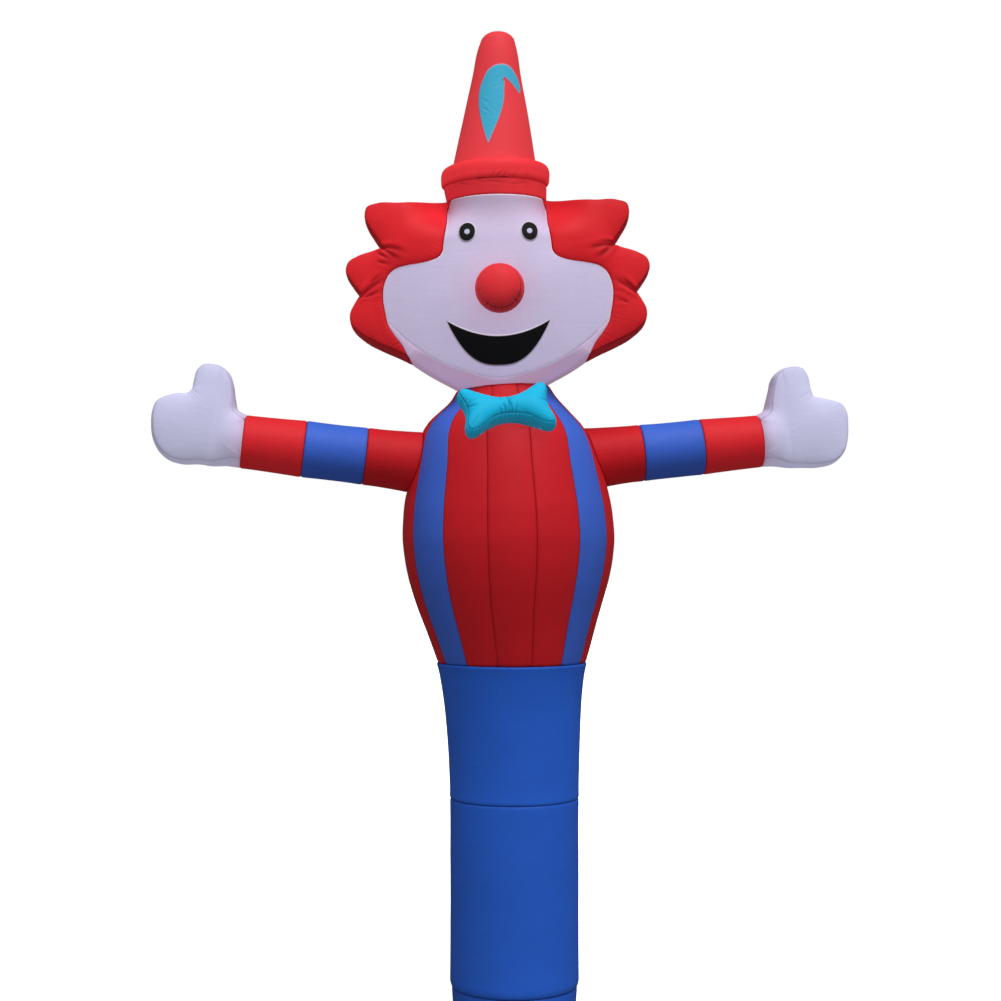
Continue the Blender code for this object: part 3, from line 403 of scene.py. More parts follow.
def puckers(along: Array, length: float, spacing: float, seed: int) -> tuple[Array, Array]:
    """Works out the puckers that a gathered seam makes.

    They are round lobes between narrow valleys: the root of a sine's size. Phase and strength wander.

    Args:
        along: How far along the seam each point lies.
        length: The seam's length.
        spacing: The usual distance between valleys.
        seed: The seed of the wandering.

    Returns:
        The lobes, about 0, and their strength, up to 1.
    """
    chance = np.random.default_rng(seed)
    angle = 2 * math.pi * along / length
    count = max(2, round(length / spacing))
    phase, strength = np.zeros_like(angle), np.zeros_like(angle)
    for wave in range(2, 12):
        for values, number in ((phase, wave), (strength, wave + 3)):
            values += chance.uniform(-WANDER, WANDER) * np.sin(number * angle + chance.uniform(0, ANY_PHASE))
    lobes = np.sqrt(np.abs(np.sin(count * angle / 2 + phase)) + LOBE_FLOOR)
    return lobes - LOBE_MIDDLE, np.clip(0.62 + 0.38 * strength, 0.12, 1)


def slackness(points: Array, seed: int) -> Array:
    """Adds up sines of several lengths that run in all directions, as soft waves.

    Args:
        points: Where the waves are read.
        seed: The seed of their directions.

    Returns:
        The waves, from -1 to 1.
    """
    chance = np.random.default_rng(seed)
    waves = np.zeros(points.shape[:-1])
    for size in SLACK_WAVES:
        heading = unit(chance.normal(size=3)) * 2 * math.pi / size
        waves += np.sin(points @ heading + chance.uniform(0, ANY_PHASE)) * size
    return waves / sum(SLACK_WAVES)


def in_scene(name: str, data: bpy.types.ID) -> bpy.types.Object:
    """Makes an object of a mesh, a light or a camera.

    Args:
        name: The object's name.
        data: What it shows.

    Returns:
        The object, linked to the scene.
    """
    made = bpy.data.objects.new(name, data)
    bpy.context.scene.collection.objects.link(made)
    return made


# ---- seams, creases and pieces of cloth


class Edge(Enum):
    """A piece's first and last columns, and its start and end rows: which axis crosses it, and where."""

    FIRST = (1, 0)
    LAST = (1, -1)
    START = (0, 0)
    END = (0, -1)


class Hold(Enum):
    """How a sheet of the figure is held."""

    STRETCHED = "stretched"
    LAID = "laid"


@dataclass(frozen=True)
class Seam:
    """How the cloth lies beside one of its seams.

    The cloth sinks into the seam, stands up as a lip beside it, and is gathered by it.
    """

    sink: float = 0.0
    lip: float = 0.0
    reach: float = 0.014
    gather: float = 0.0
    spacing: float = 0.013
    fade: float = 0.02
    seed: int = 1
    weight: Any = 1.0

    def relief(self, distance: Array, along: Array, length: float) -> tuple[Array, Array]:
        """Works out how far the seam moves the cloth out of its plain surface.

        Args:
            distance: How far each point lies from the seam.
            along: How far along the seam it lies.
            length: The seam's length.

        Returns:
            How far each point moves outwards, and how deep it lies in a pucker's valley, 0 to 1.
        """
        rise = self.lip * (1 - np.exp(-distance / LIP_RISE)) * np.exp(-distance / self.reach)
        rise = rise - self.sink * np.exp(-distance / SINK_REACH)
        if not self.gather:
            return rise, np.zeros_like(rise)
        lobes, strength = puckers(along, length, self.spacing, self.seed)
        deep = (1 - np.exp(-distance / GATHER_RISE)) * np.exp(-distance / (self.fade * (0.3 + strength)))
        folded = self.gather * self.weight * strength * deep
        return rise + folded * lobes, np.clip(-lobes / 0.6, 0, 1) * np.clip(folded / FULL_FOLD, 0, 1)


def both_sides(seam: Seam) -> dict[Edge, Seam]:
    """Returns the same seam for a piece's first and last column."""
    return {Edge.FIRST: seam, Edge.LAST: seam}


class Crease(NamedTuple):
    """A fold that runs in from a seam over the cut's flat plane; its heading is in degrees."""

    right: float
    up: float
    heading: float
    length: float
    width: float
    depth: float
    bend: float = 0.0

    def mirrored(self) -> "Crease":
        """Returns the same fold on the other side."""
        return self._replace(right=-self.right, heading=180 - self.heading, bend=-self.bend)

    def relief(self, plane: Array) -> tuple[Array, Array]:
        """Works out a narrow valley with soft shoulders, which fades at both ends.

        Args:
            plane: Flat points of the cut.

        Returns:
            How far each point moves outwards, and how deep it lies in the valley, 0 to 1.
        """
        away = plane - np.array([self.right, self.up])
        ahead = polar(self.heading, 1.0)
        along = away @ ahead
        aside = away @ np.array([-ahead[1], ahead[0]]) - self.bend * along**2
        share = along / self.length
        strength = eased(1 + 6 * share) * (1 - eased(share)) * (share > -0.5)
        width = self.width * (1 + 0.9 * np.clip(share, 0, 1))
        valley = np.exp(-((aside / width) ** 2))
        shoulder = np.exp(-(((np.abs(aside) - 2.1 * width) / (1.2 * width)) ** 2))
        folded = self.depth * strength
        return folded * (0.38 * shoulder - valley), valley * np.clip(folded / FULL_FOLD, 0, 1)


@dataclass(frozen=True)
class Finish:
    """A dyed cloth: the slot that names its material, its colours, and how it scatters light.

    The line is the colour of its seams, and is also painted into folds as painted shade. The reflected colour
    is a painted reflection: on white cloth the red of its neighbours, on red and blue cloth a pale sheen.
    A painted glow stands in for light from the far side: it brightens the cloth that faces down by the under
    share.
    """

    slot: str
    colour: tuple[float, float, float]
    line: tuple[float, float, float]
    warm: tuple[float, float, float]
    line_strength: float = 0.8
    stitch_strength: float = 0.35
    line_width: float = 0.0026
    fold: float = 0.45
    roughness: float = 0.52
    specular: float = 0.2
    under: float = 0.0


RED = Finish("red_cloth", (0.6, 0.007, 0.013), (0.13, 0.002, 0.005), (0.6, 0.038, 0.048),
             line_width=0.004, fold=0.6, specular=0.12)
BLUE = Finish("blue_cloth", (0.02, 0.118, 0.62), (0.006, 0.018, 0.13), (0.085, 0.15, 0.62))
WHITE = Finish("white_cloth", (0.62, 0.62, 0.86), (0.4, 0.35, 0.47), (0.62, 0.46, 0.66), 0.3, 0.12,
               line_width=0.0044, fold=0.3, roughness=0.62, specular=0.15, under=0.25)
CYAN = Finish("cyan_cloth", (0.01, 0.43, 0.69), (0.003, 0.11, 0.23), (0.01, 0.43, 0.69), 0.75, 0.2,
              specular=0.1)
TEAL = Finish("teal_cloth", (0.045, 0.4, 0.6), (0.56, 0.26, 0.38), (0.045, 0.4, 0.6), 0.75, 0.15,
              line_width=0.0046, fold=0.1, roughness=0.6)
BLACK = Finish("black_cloth", (0.006, 0.006, 0.007), (0.78, 0.72, 0.84), (0.006, 0.006, 0.007), 1.0, 0.0,
               line_width=0.0055, fold=0.0, roughness=0.65, specular=0.15)


class Glow(NamedTuple):
    """How strongly a glow is painted on the pieces whose nodes start so, for the light inside that shows
    through, and how much painted reflection tints them.
    """

    start: str
    level: float
    warmth: float = 0.0


# Painted glow levels: highest on the hat, hair and nose, and lower down the leg, which paints the leg darker
# towards the bottom.
GLOWS = rows_of(
    Glow,
    ("torso", 0.06, 0.2), ("leg_upper", 0.06), ("leg_lower", 0.03), ("arm_left_outer", 0.28, 0.3),
    ("arm_right_outer", 0.28, 0.3), ("arm", 0.08, 0.15), ("hand", 0.12), ("face", 0.23),
    ("chin_funnel", 0.26, 0.9), ("nape_funnel", 0.15, 0.9), ("hair_front", 0.46, 0.25),
    ("hair_back", 0.3, 0.3), ("hair_gusset", 0.12), ("nose", 0.42, 0.6), ("hat_band", 0.56, 0.6),
    ("hat_roll", 0.7, 0.6), ("hat_cone", 0.52, 1), ("hat_feather", 0.2), ("bow", 0.2),
)
THIN = ("nose", "bow")


@dataclass
class Cloth:
    """One cut piece: the grid of its outer face, and how it is sewn.

    The plane holds the cut's flat coordinates. A closed piece's rows close on themselves, and a hub's first
    column is one point. The plane of a drawn piece or a hub is its cut outline. Cells not kept are cut out.
    """

    node: str
    finish: Finish
    points: Array
    plane: Array
    inside: Array | tuple[float, float, float]
    closed: bool = False
    hub: bool = False
    drawn: bool = False
    seams: dict[Edge, Seam] = field(default_factory=dict)
    creases: Sequence[Crease] = ()
    puff: float = 0.0
    fullness: float = 0.6
    slack: float = SLACK
    # Painted light: one field dims the painted glow as painted shade, one tints the cloth as a painted
    # reflection, and the bright line paints a highlight along a seam's lip.
    cool: Array | float = 0.0
    warmth: Array | float = 0.0
    line: Array | float = 1.0
    bright_line: Array | float = 0.0
    shaped: Array | None = None
    runs_on: Array | None = None
    keep: Array | None = None
    hold: Hold = Hold.STRETCHED
    on: Sequence[str] = ()

    def normals(self, points: Array) -> Array:
        """Works out the outward normals from the cross product of the grid's two directions.

        Args:
            points: The grid's points.

        Returns:
            The normals.
        """
        down = np.gradient(points, axis=0)
        if self.closed:
            down = (np.roll(points, -1, axis=0) - np.roll(points, 1, axis=0)) / 2
        facing = unit(np.cross(down, np.gradient(points, axis=1)))
        if self.hub:
            facing[:, 0] = unit(facing[:, 1].mean(axis=0))
        for end, beside in ((0, 1), (-1, -2)):
            if not self.closed and np.ptp(points[end], axis=0).max() < TINY:
                facing[end] = facing[beside].mean(axis=0)
        return facing if ((points - self.inside) * facing).sum() > 0 else -facing

    def beside(self, edge: Edge, points: Array) -> tuple[Array, Array, float]:
        """Measures the grid against one of its edges.

        Args:
            edge: The edge.
            points: The grid's points.

        Returns:
            How far each point lies from the edge, how far along it, and the edge's length.
        """
        axis, end = edge.value
        ranks = points.swapaxes(0, axis)
        distance, along = lengths(ranks), lengths(ranks[end])
        distance = np.abs(distance[end] - distance)
        length = along[-1] + (np.linalg.norm(ranks[end][0] - ranks[end][-1]) if axis and self.closed else 0)
        along = np.broadcast_to(along, distance.shape)
        return distance.swapaxes(0, axis), along.swapaxes(0, axis), float(length)

    def blown(self) -> Array:
        """Blows the grid up between its seams.

        Where the skin runs on past its border, as at a cuff, it is blown up as far as it runs. Its height at
        the border is then taken off, in a way that fades towards the hub.

        Returns:
            The points.
        """
        if not self.puff:
            return self.points
        if self.runs_on is None:
            height = blown_up(self.plane, self.closed, self.hub) ** self.fullness
        else:
            reach = np.linalg.norm(self.plane, axis=-1)
            far = reach * (1 + self.runs_on)
            whole = self.plane * (1 + self.runs_on)[..., None]
            whole = blown_up(whole, self.closed, self.hub) ** self.fullness
            height = np.array([np.interp(*row) for row in zip(reach, far, whole)])
            height -= height[:, -1:] * (reach / reach[:, -1:]) ** 5
        return self.points + self.normals(self.points) * self.puff * height[..., None]

    def finished(self) -> tuple[Array, dict[str, Array]]:
        """Blows the piece up and works its seams, gathers, creases and slack into it.

        Returns:
            The points; and by name each one's distance from the nearest seam, its place along that seam, and
            its depth in a fold.
        """
        points = self.blown()
        rise, fold = np.zeros(points.shape[:2]), np.zeros(points.shape[:2])
        nearest, nearest_along = np.full(rise.shape, 1.0), np.zeros(rise.shape)
        for edge, seam in self.seams.items():
            distance, along, length = self.beside(edge, points)
            moved, deep = seam.relief(distance, along, max(length, THICKNESS))
            rise += moved
            fold = np.maximum(fold, deep)
            nearest_along = np.where(distance < nearest, along, nearest_along)
            nearest = np.minimum(nearest, distance)
        rise += self.slack * slackness(points, 7) * (1 - np.exp(-nearest / SLACK_GUARD))
        for crease in self.creases:
            moved, deep = crease.relief(self.plane)
            rise += moved * (1 - np.exp(-nearest / GATHER_RISE))
            fold = np.maximum(fold, deep)
        if self.shaped is not None:
            rise += self.shaped
        if self.hub:
            rise[:, 0] = rise[:, 0].mean()
        marks = {"seam_distance": nearest, "seam_along": nearest_along, "fold": fold}
        return points + self.normals(points) * rise[..., None], marks

    def cut(self, points: Array) -> tuple[float, float, float]:
        """Measures the piece as it lies flat, with the cloth that its gathers take up.

        Args:
            points: The finished grid's points.

        Returns:
            Its width, its length and its area.
        """
        faces = triangle_corners(grid_numbers(*points.shape[:2], self.closed, self.hub))
        corners, flat = points.reshape(-1, 3)[faces], self.plane.reshape(-1, 2)[faces]
        sides = np.cross(corners[:, 1] - corners[:, 0], corners[:, 2] - corners[:, 0])
        area = float(np.linalg.norm(sides, axis=-1).sum() / 2)
        if self.hub or self.drawn:
            across, along = (np.ptp(self.plane[..., axis]) for axis in (0, 1))
            one, two = flat[:, 1] - flat[:, 0], flat[:, 2] - flat[:, 0]
            stretch = math.sqrt(area / (np.abs(one[:, 0] * two[:, 1] - one[:, 1] * two[:, 0]).sum() / 2))
            width, length = float(across) * stretch, float(along) * stretch
        else:
            width = float(lengths(points.swapaxes(0, 1))[-1].max())
            down = np.concatenate([points, points[:1]]) if self.closed else points
            length = float(lengths(down)[-1].max())
        return width, length, min(area, width * length)

    def sew(self, shift: Array) -> bpy.types.Object:
        """Finishes the piece and lays out its faces.

        Args:
            shift: The step from the tables to where the frame stands.

        Returns:
            The finished object.
        """
        points, marks = self.finished()
        columns = points.shape[1]
        facing = self.normals(points)
        index = grid_numbers(*points.shape[:2], self.closed, self.hub)
        plane = self.plane
        if self.closed:
            again = plane[:1] if self.hub else plane[-1:] + (plane[1:2] - plane[:1])
            plane = np.concatenate([plane, again])
        across = np.cross(points[1, columns // 2] - points[0, columns // 2],
                          points[0, columns // 2 + 1] - points[0, columns // 2])
        cells = [(0, 0), (1, 0), (1, 1), (0, 1)]
        if across @ facing[0, columns // 2] < 0:
            cells = cells[::-1]
        height, width = index.shape[0] - 1, columns - 1
        corner = np.stack([index[r : r + height, c : c + width] for r, c in cells], axis=-1)
        place = np.stack([plane[r : r + height, c : c + width] for r, c in cells], axis=-2)
        kept = np.ones((height, width), bool) if self.keep is None else self.keep
        faces, spots = [], []
        for quad, spot in zip(corner[kept].tolist(), place[kept].tolist()):
            used = [k for k in range(4) if quad[k] != quad[k - 1]]
            faces.append([quad[k] for k in used])
            spots.extend(spot[k] for k in used)
        return self.object_of(points + shift, faces, np.array(spots), marks)

    def object_of(
        self, points: Array, faces: list[list[int]], spots: Array, marks: dict[str, Array]
    ) -> bpy.types.Object:
        """Args:
            points: The grid's points in the frame.
            faces: The corners of its faces.
            spots: The flat place of each face's corner.
            marks: Each point's numbers for the material, by name.

        Returns:
            The finished object.
        """
        used = np.zeros(points.shape[0] * points.shape[1], bool)
        used[np.concatenate([np.array(face) for face in faces])] = True
        number = np.cumsum(used) - 1
        mesh = bpy.data.meshes.new(f"{self.node}_cloth")
        kept_points = points.reshape(-1, 3)[used]
        mesh.from_pydata(kept_points.tolist(), [], [number[face].tolist() for face in faces])
        cut_places = mesh.uv_layers.new(name="cut_places")
        cut_places.data.foreach_set("uv", spots.astype(np.float32).ravel())
        # The glow is painted light standing in for light through the cloth: painted shade dims it, and so
        # does facing down, while cloth with an under share is painted brighter where it faces down.
        down = np.clip(-self.normals(points)[..., 2], 0, 1)
        glow = next((row for row in GLOWS if self.node.startswith(row.start)), Glow("", 0.0))
        marks |= {
            "inner_light": glow.level * (1 - 0.8 * self.cool) * (1 - 0.35 * down) + self.finish.under * down,
            "warmth": glow.warmth + self.warmth + 0 * down,
            "seam_line": self.line + 0 * down,
            "bright_line": self.bright_line + 0 * down,
        }
        for name, values in marks.items():
            attribute = mesh.attributes.new(name, "FLOAT", "POINT")
            attribute.data.foreach_set("value", values.reshape(-1)[used].astype(np.float32))
        mesh.shade_smooth()
        mesh.materials.append(cloth_material(self.finish))
        made = in_scene(mesh.name, mesh)
        wall = made.modifiers.new("thickness", "SOLIDIFY")
        wall.thickness = THICKNESS
        wall.offset = -1
        made.visible_shadow = not self.node.startswith(THIN)
        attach(made, "root")
        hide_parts(self.node)
        width, length, area = self.cut(points)
        log.info("%s: cut %.3f x %.3f m, %.4f m2, %d faces", self.node, width, length, area, len(faces))
        return made


# ---- materials


class Tree:
    """Lays nodes in a tree, from left to right, and wires them."""

    def __init__(self, tree: bpy.types.NodeTree) -> None:
        """Takes the tree."""
        self.tree = tree

    def fill(self, node: bpy.types.Node, **inputs: Any) -> bpy.types.Node:
        """Fills or wires a node's inputs.

        Args:
            node: The node.
            inputs: Its inputs by name, or by number as i0, i1 and so on: sockets or plain values.

        Returns:
            The node.
        """
        for name, value in inputs.items():
            by_number = name[0] == "i" and name[1:].isdigit()
            socket = node.inputs[int(name[1:]) if by_number else name.replace("_", " ")]
            if isinstance(value, bpy.types.NodeSocket):
                self.tree.links.new(value, socket)
            else:
                socket.default_value = value
        return node

    def add(self, kind: str, settings: dict[str, Any] | None = None, **inputs: Any) -> bpy.types.Node:
        """Adds a node, sets its properties, and fills or wires its inputs.

        Args:
            kind: The node's type without its leading ShaderNode.
            settings: Its properties.
            inputs: Its inputs, as fill takes them.

        Returns:
            The node.
        """
        node = self.tree.nodes.new("ShaderNode" + kind)
        node.location = (180 * len(self.tree.nodes), 0)
        for name, value in (settings or {}).items():
            setattr(node, name, value)
        return self.fill(node, **inputs)

    def math(self, operation: str, *values: Any) -> bpy.types.NodeSocket:
        """Adds a Math node and returns what it puts out."""
        inputs = {f"i{number}": value for number, value in enumerate(values)}
        return self.add("Math", {"operation": operation}, **inputs).outputs[0]

    def mark(self, name: str) -> bpy.types.NodeSocket:
        """Returns the number that each point carries under a name."""
        return self.add("Attribute", {"attribute_name": name}).outputs["Fac"]

    def mix(self, share: Any, one: Any, other: Any, blend: str = "MIX") -> bpy.types.NodeSocket:
        """Adds a Mix node for colours and returns what it puts out."""
        settings = {"data_type": "RGBA", "blend_type": blend}
        return self.add("Mix", settings, i0=share, i6=one, i7=other).outputs[2]

    def between(self, value: Any, low: float, high: float, start: float = 0, end: float = 1) -> Any:
        """Adds a smooth Map Range from low and high to start and end and returns what it puts out."""
        inputs = {"Value": value, "From_Min": low, "From_Max": high, "To_Min": start, "To_Max": end}
        return self.add("MapRange", {"interpolation_type": "SMOOTHSTEP"}, **inputs).outputs[0]


def new_group(name: str, inputs: dict[str, str], outputs: dict[str, str]) -> tuple[Any, Any, Any]:
    """Makes an empty shader node group.

    Args:
        name: The group's name.
        inputs: The names of its inputs, with their socket types.
        outputs: The names of its outputs, with their socket types.

    Returns:
        The group, its input node and its output node.
    """
    group = bpy.data.node_groups.new(name, "ShaderNodeTree")
    for direction, sockets in (("INPUT", inputs), ("OUTPUT", outputs)):
        for title, kind in sockets.items():
            group.interface.new_socket(name=title, in_out=direction, socket_type="NodeSocket" + kind)
    return group, group.nodes.new("NodeGroupInput"), group.nodes.new("NodeGroupOutput")


@cache
def weave_group() -> bpy.types.NodeTree:
    """Builds the plain weave that every cloth shares.

    The threads' height is a sine across the cut times one along it. Soft noise in the object's space varies
    the dye, and finer noise makes the small creases of thin cloth.

    Returns:
        The group.
    """
    inputs = {"Threads per metre": "Float", "Crinkle size": "Float"}
    group, start, end = new_group("thin_cloth_weave", inputs, {"Height": "Float", "Dye": "Float"})
    tree = Tree(group)
    place = tree.add("UVMap", {"uv_map": "cut_places"}).outputs["UV"]
    split = tree.add("SeparateXYZ", Vector=place).outputs
    turns = tree.math("MULTIPLY", start.outputs["Threads per metre"], 2 * math.pi)
    warp = tree.math("SINE", tree.math("MULTIPLY", split[0], turns))
    weft = tree.math("SINE", tree.math("MULTIPLY", split[1], turns))
    threads = tree.math("MULTIPLY", warp, weft)
    space = tree.add("TexCoord").outputs["Object"]
    small = tree.math("DIVIDE", 1.0, start.outputs["Crinkle size"])
    level = tree.add("VectorMath", {"operation": "MULTIPLY"}, i0=space, i1=(0.55, 0.55, 1.5)).outputs[0]
    crinkle = tree.add("TexNoise", Vector=level, Scale=small, Detail=4.0, Roughness=0.55, Distortion=0.6)
    height = tree.math("MULTIPLY_ADD", threads, 0.06, crinkle.outputs["Fac"])
    broad = tree.add("TexNoise", Vector=space, Scale=2.6, Detail=4.0, Roughness=0.6).outputs["Fac"]
    dye = tree.math("MULTIPLY_ADD", threads, 0.02, tree.between(broad, 0.25, 0.75, 0.93, 1.05))
    tree.fill(end, Height=height, Dye=dye)
    return group


@cache
def seam_group() -> bpy.types.NodeTree:
    """Builds a seam's dark line and the row of stitches a few millimetres beside it.

    Returns:
        The group.
    """
    inputs = {"Line width": "Float", "Stitch length": "Float"}
    group, start, end = new_group("seam_marks", inputs, {"Line": "Float", "Stitches": "Float"})
    tree = Tree(group)
    distance = tree.mark("seam_distance")
    along = tree.mark("seam_along")
    share = tree.math("DIVIDE", distance, start.outputs["Line width"])
    line = tree.between(share, 0.35, 1.0, 1.0, 0.0)
    run = tree.math("FRACT", tree.math("DIVIDE", along, start.outputs["Stitch length"]))
    dash = tree.between(run, 0.55, 0.75, 1.0, 0.0)
    offset = tree.math("ABSOLUTE", tree.math("SUBTRACT", distance, 0.0062))
    row = tree.between(offset, 0.0003, 0.0008, 1.0, 0.0)
    tree.fill(end, Line=line, Stitches=tree.math("MULTIPLY", dash, row))
    return group


@cache
def cloth_material(finish: Finish) -> bpy.types.Material:
    """Makes the material of a dyed cloth, or returns the one that is there.

    The light from inside is painted as a faint glow in the cloth's own colour.

    Args:
        finish: The cloth's finish.

    Returns:
        Its material.
    """
    made = bpy.data.materials.new(f"{finish.slot}_dressed")
    made.use_nodes = True
    made.diffuse_color = (*finish.colour, 1)
    tree = Tree(made.node_tree)
    weave = tree.add("Group", {"node_tree": weave_group()}, Threads_per_metre=900.0, Crinkle_size=0.035)
    weave = weave.outputs
    seam = tree.add("Group", {"node_tree": seam_group()}, Line_width=finish.line_width, Stitch_length=0.0045)
    # A painted reflection tints the cloth towards its reflected colour before the weave varies it.
    reflection_tint = tree.mix(tree.mark("warmth"), (*finish.colour, 1), (*finish.warm, 1))
    dye = tree.mix(1.0, reflection_tint, weave["Dye"], "MULTIPLY")
    # The bright line is a painted highlight along a seam's lip.
    bright = tree.mark("bright_line")
    line = tree.mix(bright, (*finish.line, 1), (*LIP_HIGHLIGHT, 1))
    dark = tree.math("MULTIPLY", tree.mark("seam_line"), finish.line_strength)
    stitches = tree.math("MULTIPLY", seam.outputs["Stitches"], finish.stitch_strength)
    sewn = tree.math("MULTIPLY", seam.outputs["Line"], tree.math("MAXIMUM", bright, dark))
    # Folds are painted darker with the line colour: painted shade.
    fold = tree.math("MULTIPLY", tree.mark("fold"), finish.fold)
    shaded = tree.mix(fold, dye, (*finish.line, 1))
    colour = tree.mix(tree.math("MAXIMUM", sewn, stitches), shaded, line)
    height = tree.math("SUBTRACT", weave["Height"], stitches)
    bump = tree.add("Bump", Strength=0.5, Distance=0.0018, Height=height).outputs["Normal"]
    rough = tree.between(weave["Height"], 0.2, 0.8, finish.roughness - 0.05, finish.roughness + 0.05)
    inner = tree.mark("inner_light")
    tree.fill(made.node_tree.nodes["Principled BSDF"], Base_Color=colour, Roughness=rough, Normal=bump,
              Specular_IOR_Level=finish.specular, Emission_Color=colour, Emission_Strength=inner)
    return made


# ---- leg and torso


class Spine(NamedTuple):
    """Where the figure's axis stands at a height."""

    height: float
    across: float


class Ring(NamedTuple):
    """A ring of a round piece: its place along the axis, and its radius."""

    place: float
    radius: float


SPINE = rows_of(
    Spine,
    (0, 0.03), (0.8, 0.0295), (1.28, 0.02), (1.5, 0.01), (1.72, 0.008), (2.14, -0.0065), (2.245, -0.012),
)
LEG_RINGS = rows_of(
    Ring,
    (0, 0.205), (0.08, 0.217), (0.137, 0.2215), (0.145, 0.2225), (0.165, 0.227), (0.32, 0.226),
    (0.65, 0.226), (0.801, 0.2265), (0.925, 0.23), (1.03, 0.235), (1.122, 0.241), (1.214, 0.252),
    (1.2775, 0.2615),
)
TORSO_RINGS = rows_of(
    Ring,
    (1.2775, 0.262), (1.39, 0.298), (1.486, 0.33), (1.567, 0.3535), (1.652, 0.3695), (1.719, 0.375),
    (1.8, 0.37), (1.881, 0.357), (1.985, 0.334), (2.06, 0.307), (2.115, 0.272), (2.16, 0.229),
    (2.203, 0.187), (2.245, 0.16),
)
spine = Profile(SPINE, "height", "across")
leg_radius = Profile(LEG_RINGS, "place", "radius")
torso_radius = Profile(TORSO_RINGS, "place", "radius")


def neck_rise(across: Array, height: Array | float) -> Array:
    """Returns how much higher the torso's cloth lies right of its axis, eased in from the shoulders."""
    return NECK_LEAN * across * eased((height - SHOULDER) / (NECK - SHOULDER))


def round_body(radius: Array, height: Array, angle: Array) -> Array:
    """Returns points at a radius round the figure's axis; the angle starts at the front."""
    across = spine(height) + np.sin(angle) * radius
    return grid(across, -np.cos(angle) * radius, height)


class TubeSeam(NamedTuple):
    """One seam of the leg: its height, and how the cloth above and below lies on it."""

    height: float
    sink: float
    lip_below: float
    lip_above: float
    line: float = 0.6


@dataclass
class Leg:
    """The collar that slips over the blower's outlet, and the two lengths of the leg tube."""

    sides: int = 224
    cut_radius: float = 0.226
    foot: TubeSeam = TubeSeam(0.0, 0.0, 0.0, 0.0)
    collar: TubeSeam = TubeSeam(COLLAR_TOP, 0.003, 0.0, 0.003)
    middle: TubeSeam = TubeSeam(LEG_SEAM, 0.003, 0.001, 0.0025)
    waist: TubeSeam = TubeSeam(WAIST, 0.0005, 0.005, 0.0, line=0.1)

    def tube(self, node: str, low: TubeSeam, high: TubeSeam) -> Cloth:
        """Makes one length of tube by the leg's rings.

        Args:
            node: The node it stands for.
            low: Its lower seam.
            high: Its upper seam.

        Returns:
            The piece.
        """
        length = high.height - low.height
        share = steps(length, fine=0.0016, coarse=0.016, ease=0.035, ends=(True, True))
        height = low.height + length * share[None, :]
        angle = turns(self.sides)
        radius = leg_radius(height)
        plane = grid(angle * self.cut_radius, height)
        seams = {
            Edge.FIRST: Seam(low.sink, low.lip_above, 0.016, 0.0007, 0.017, 0.02, seed=3),
            Edge.LAST: Seam(high.sink, high.lip_below, 0.02, 0.0005, 0.021, 0.018, seed=4),
        }
        if node == "base_collar":
            seams[Edge.FIRST] = Seam(reach=0.01)
        axis = np.array([LEG_AXIS, 0, (low.height + high.height) / 2])
        line = np.where(share > 0.5, high.line, low.line)
        points = round_body(radius, height, angle)
        return Cloth(node, BLUE, points, plane, axis, closed=True, seams=seams, line=line)

    def pieces(self) -> list[Cloth]:
        """Sews the leg.

        Returns:
            Its three pieces, from the floor up.
        """
        return [
            self.tube("base_collar", self.foot, self.collar),
            self.tube("leg_lower", self.collar, self.middle),
            self.tube("leg_upper", self.middle, self.waist),
        ]


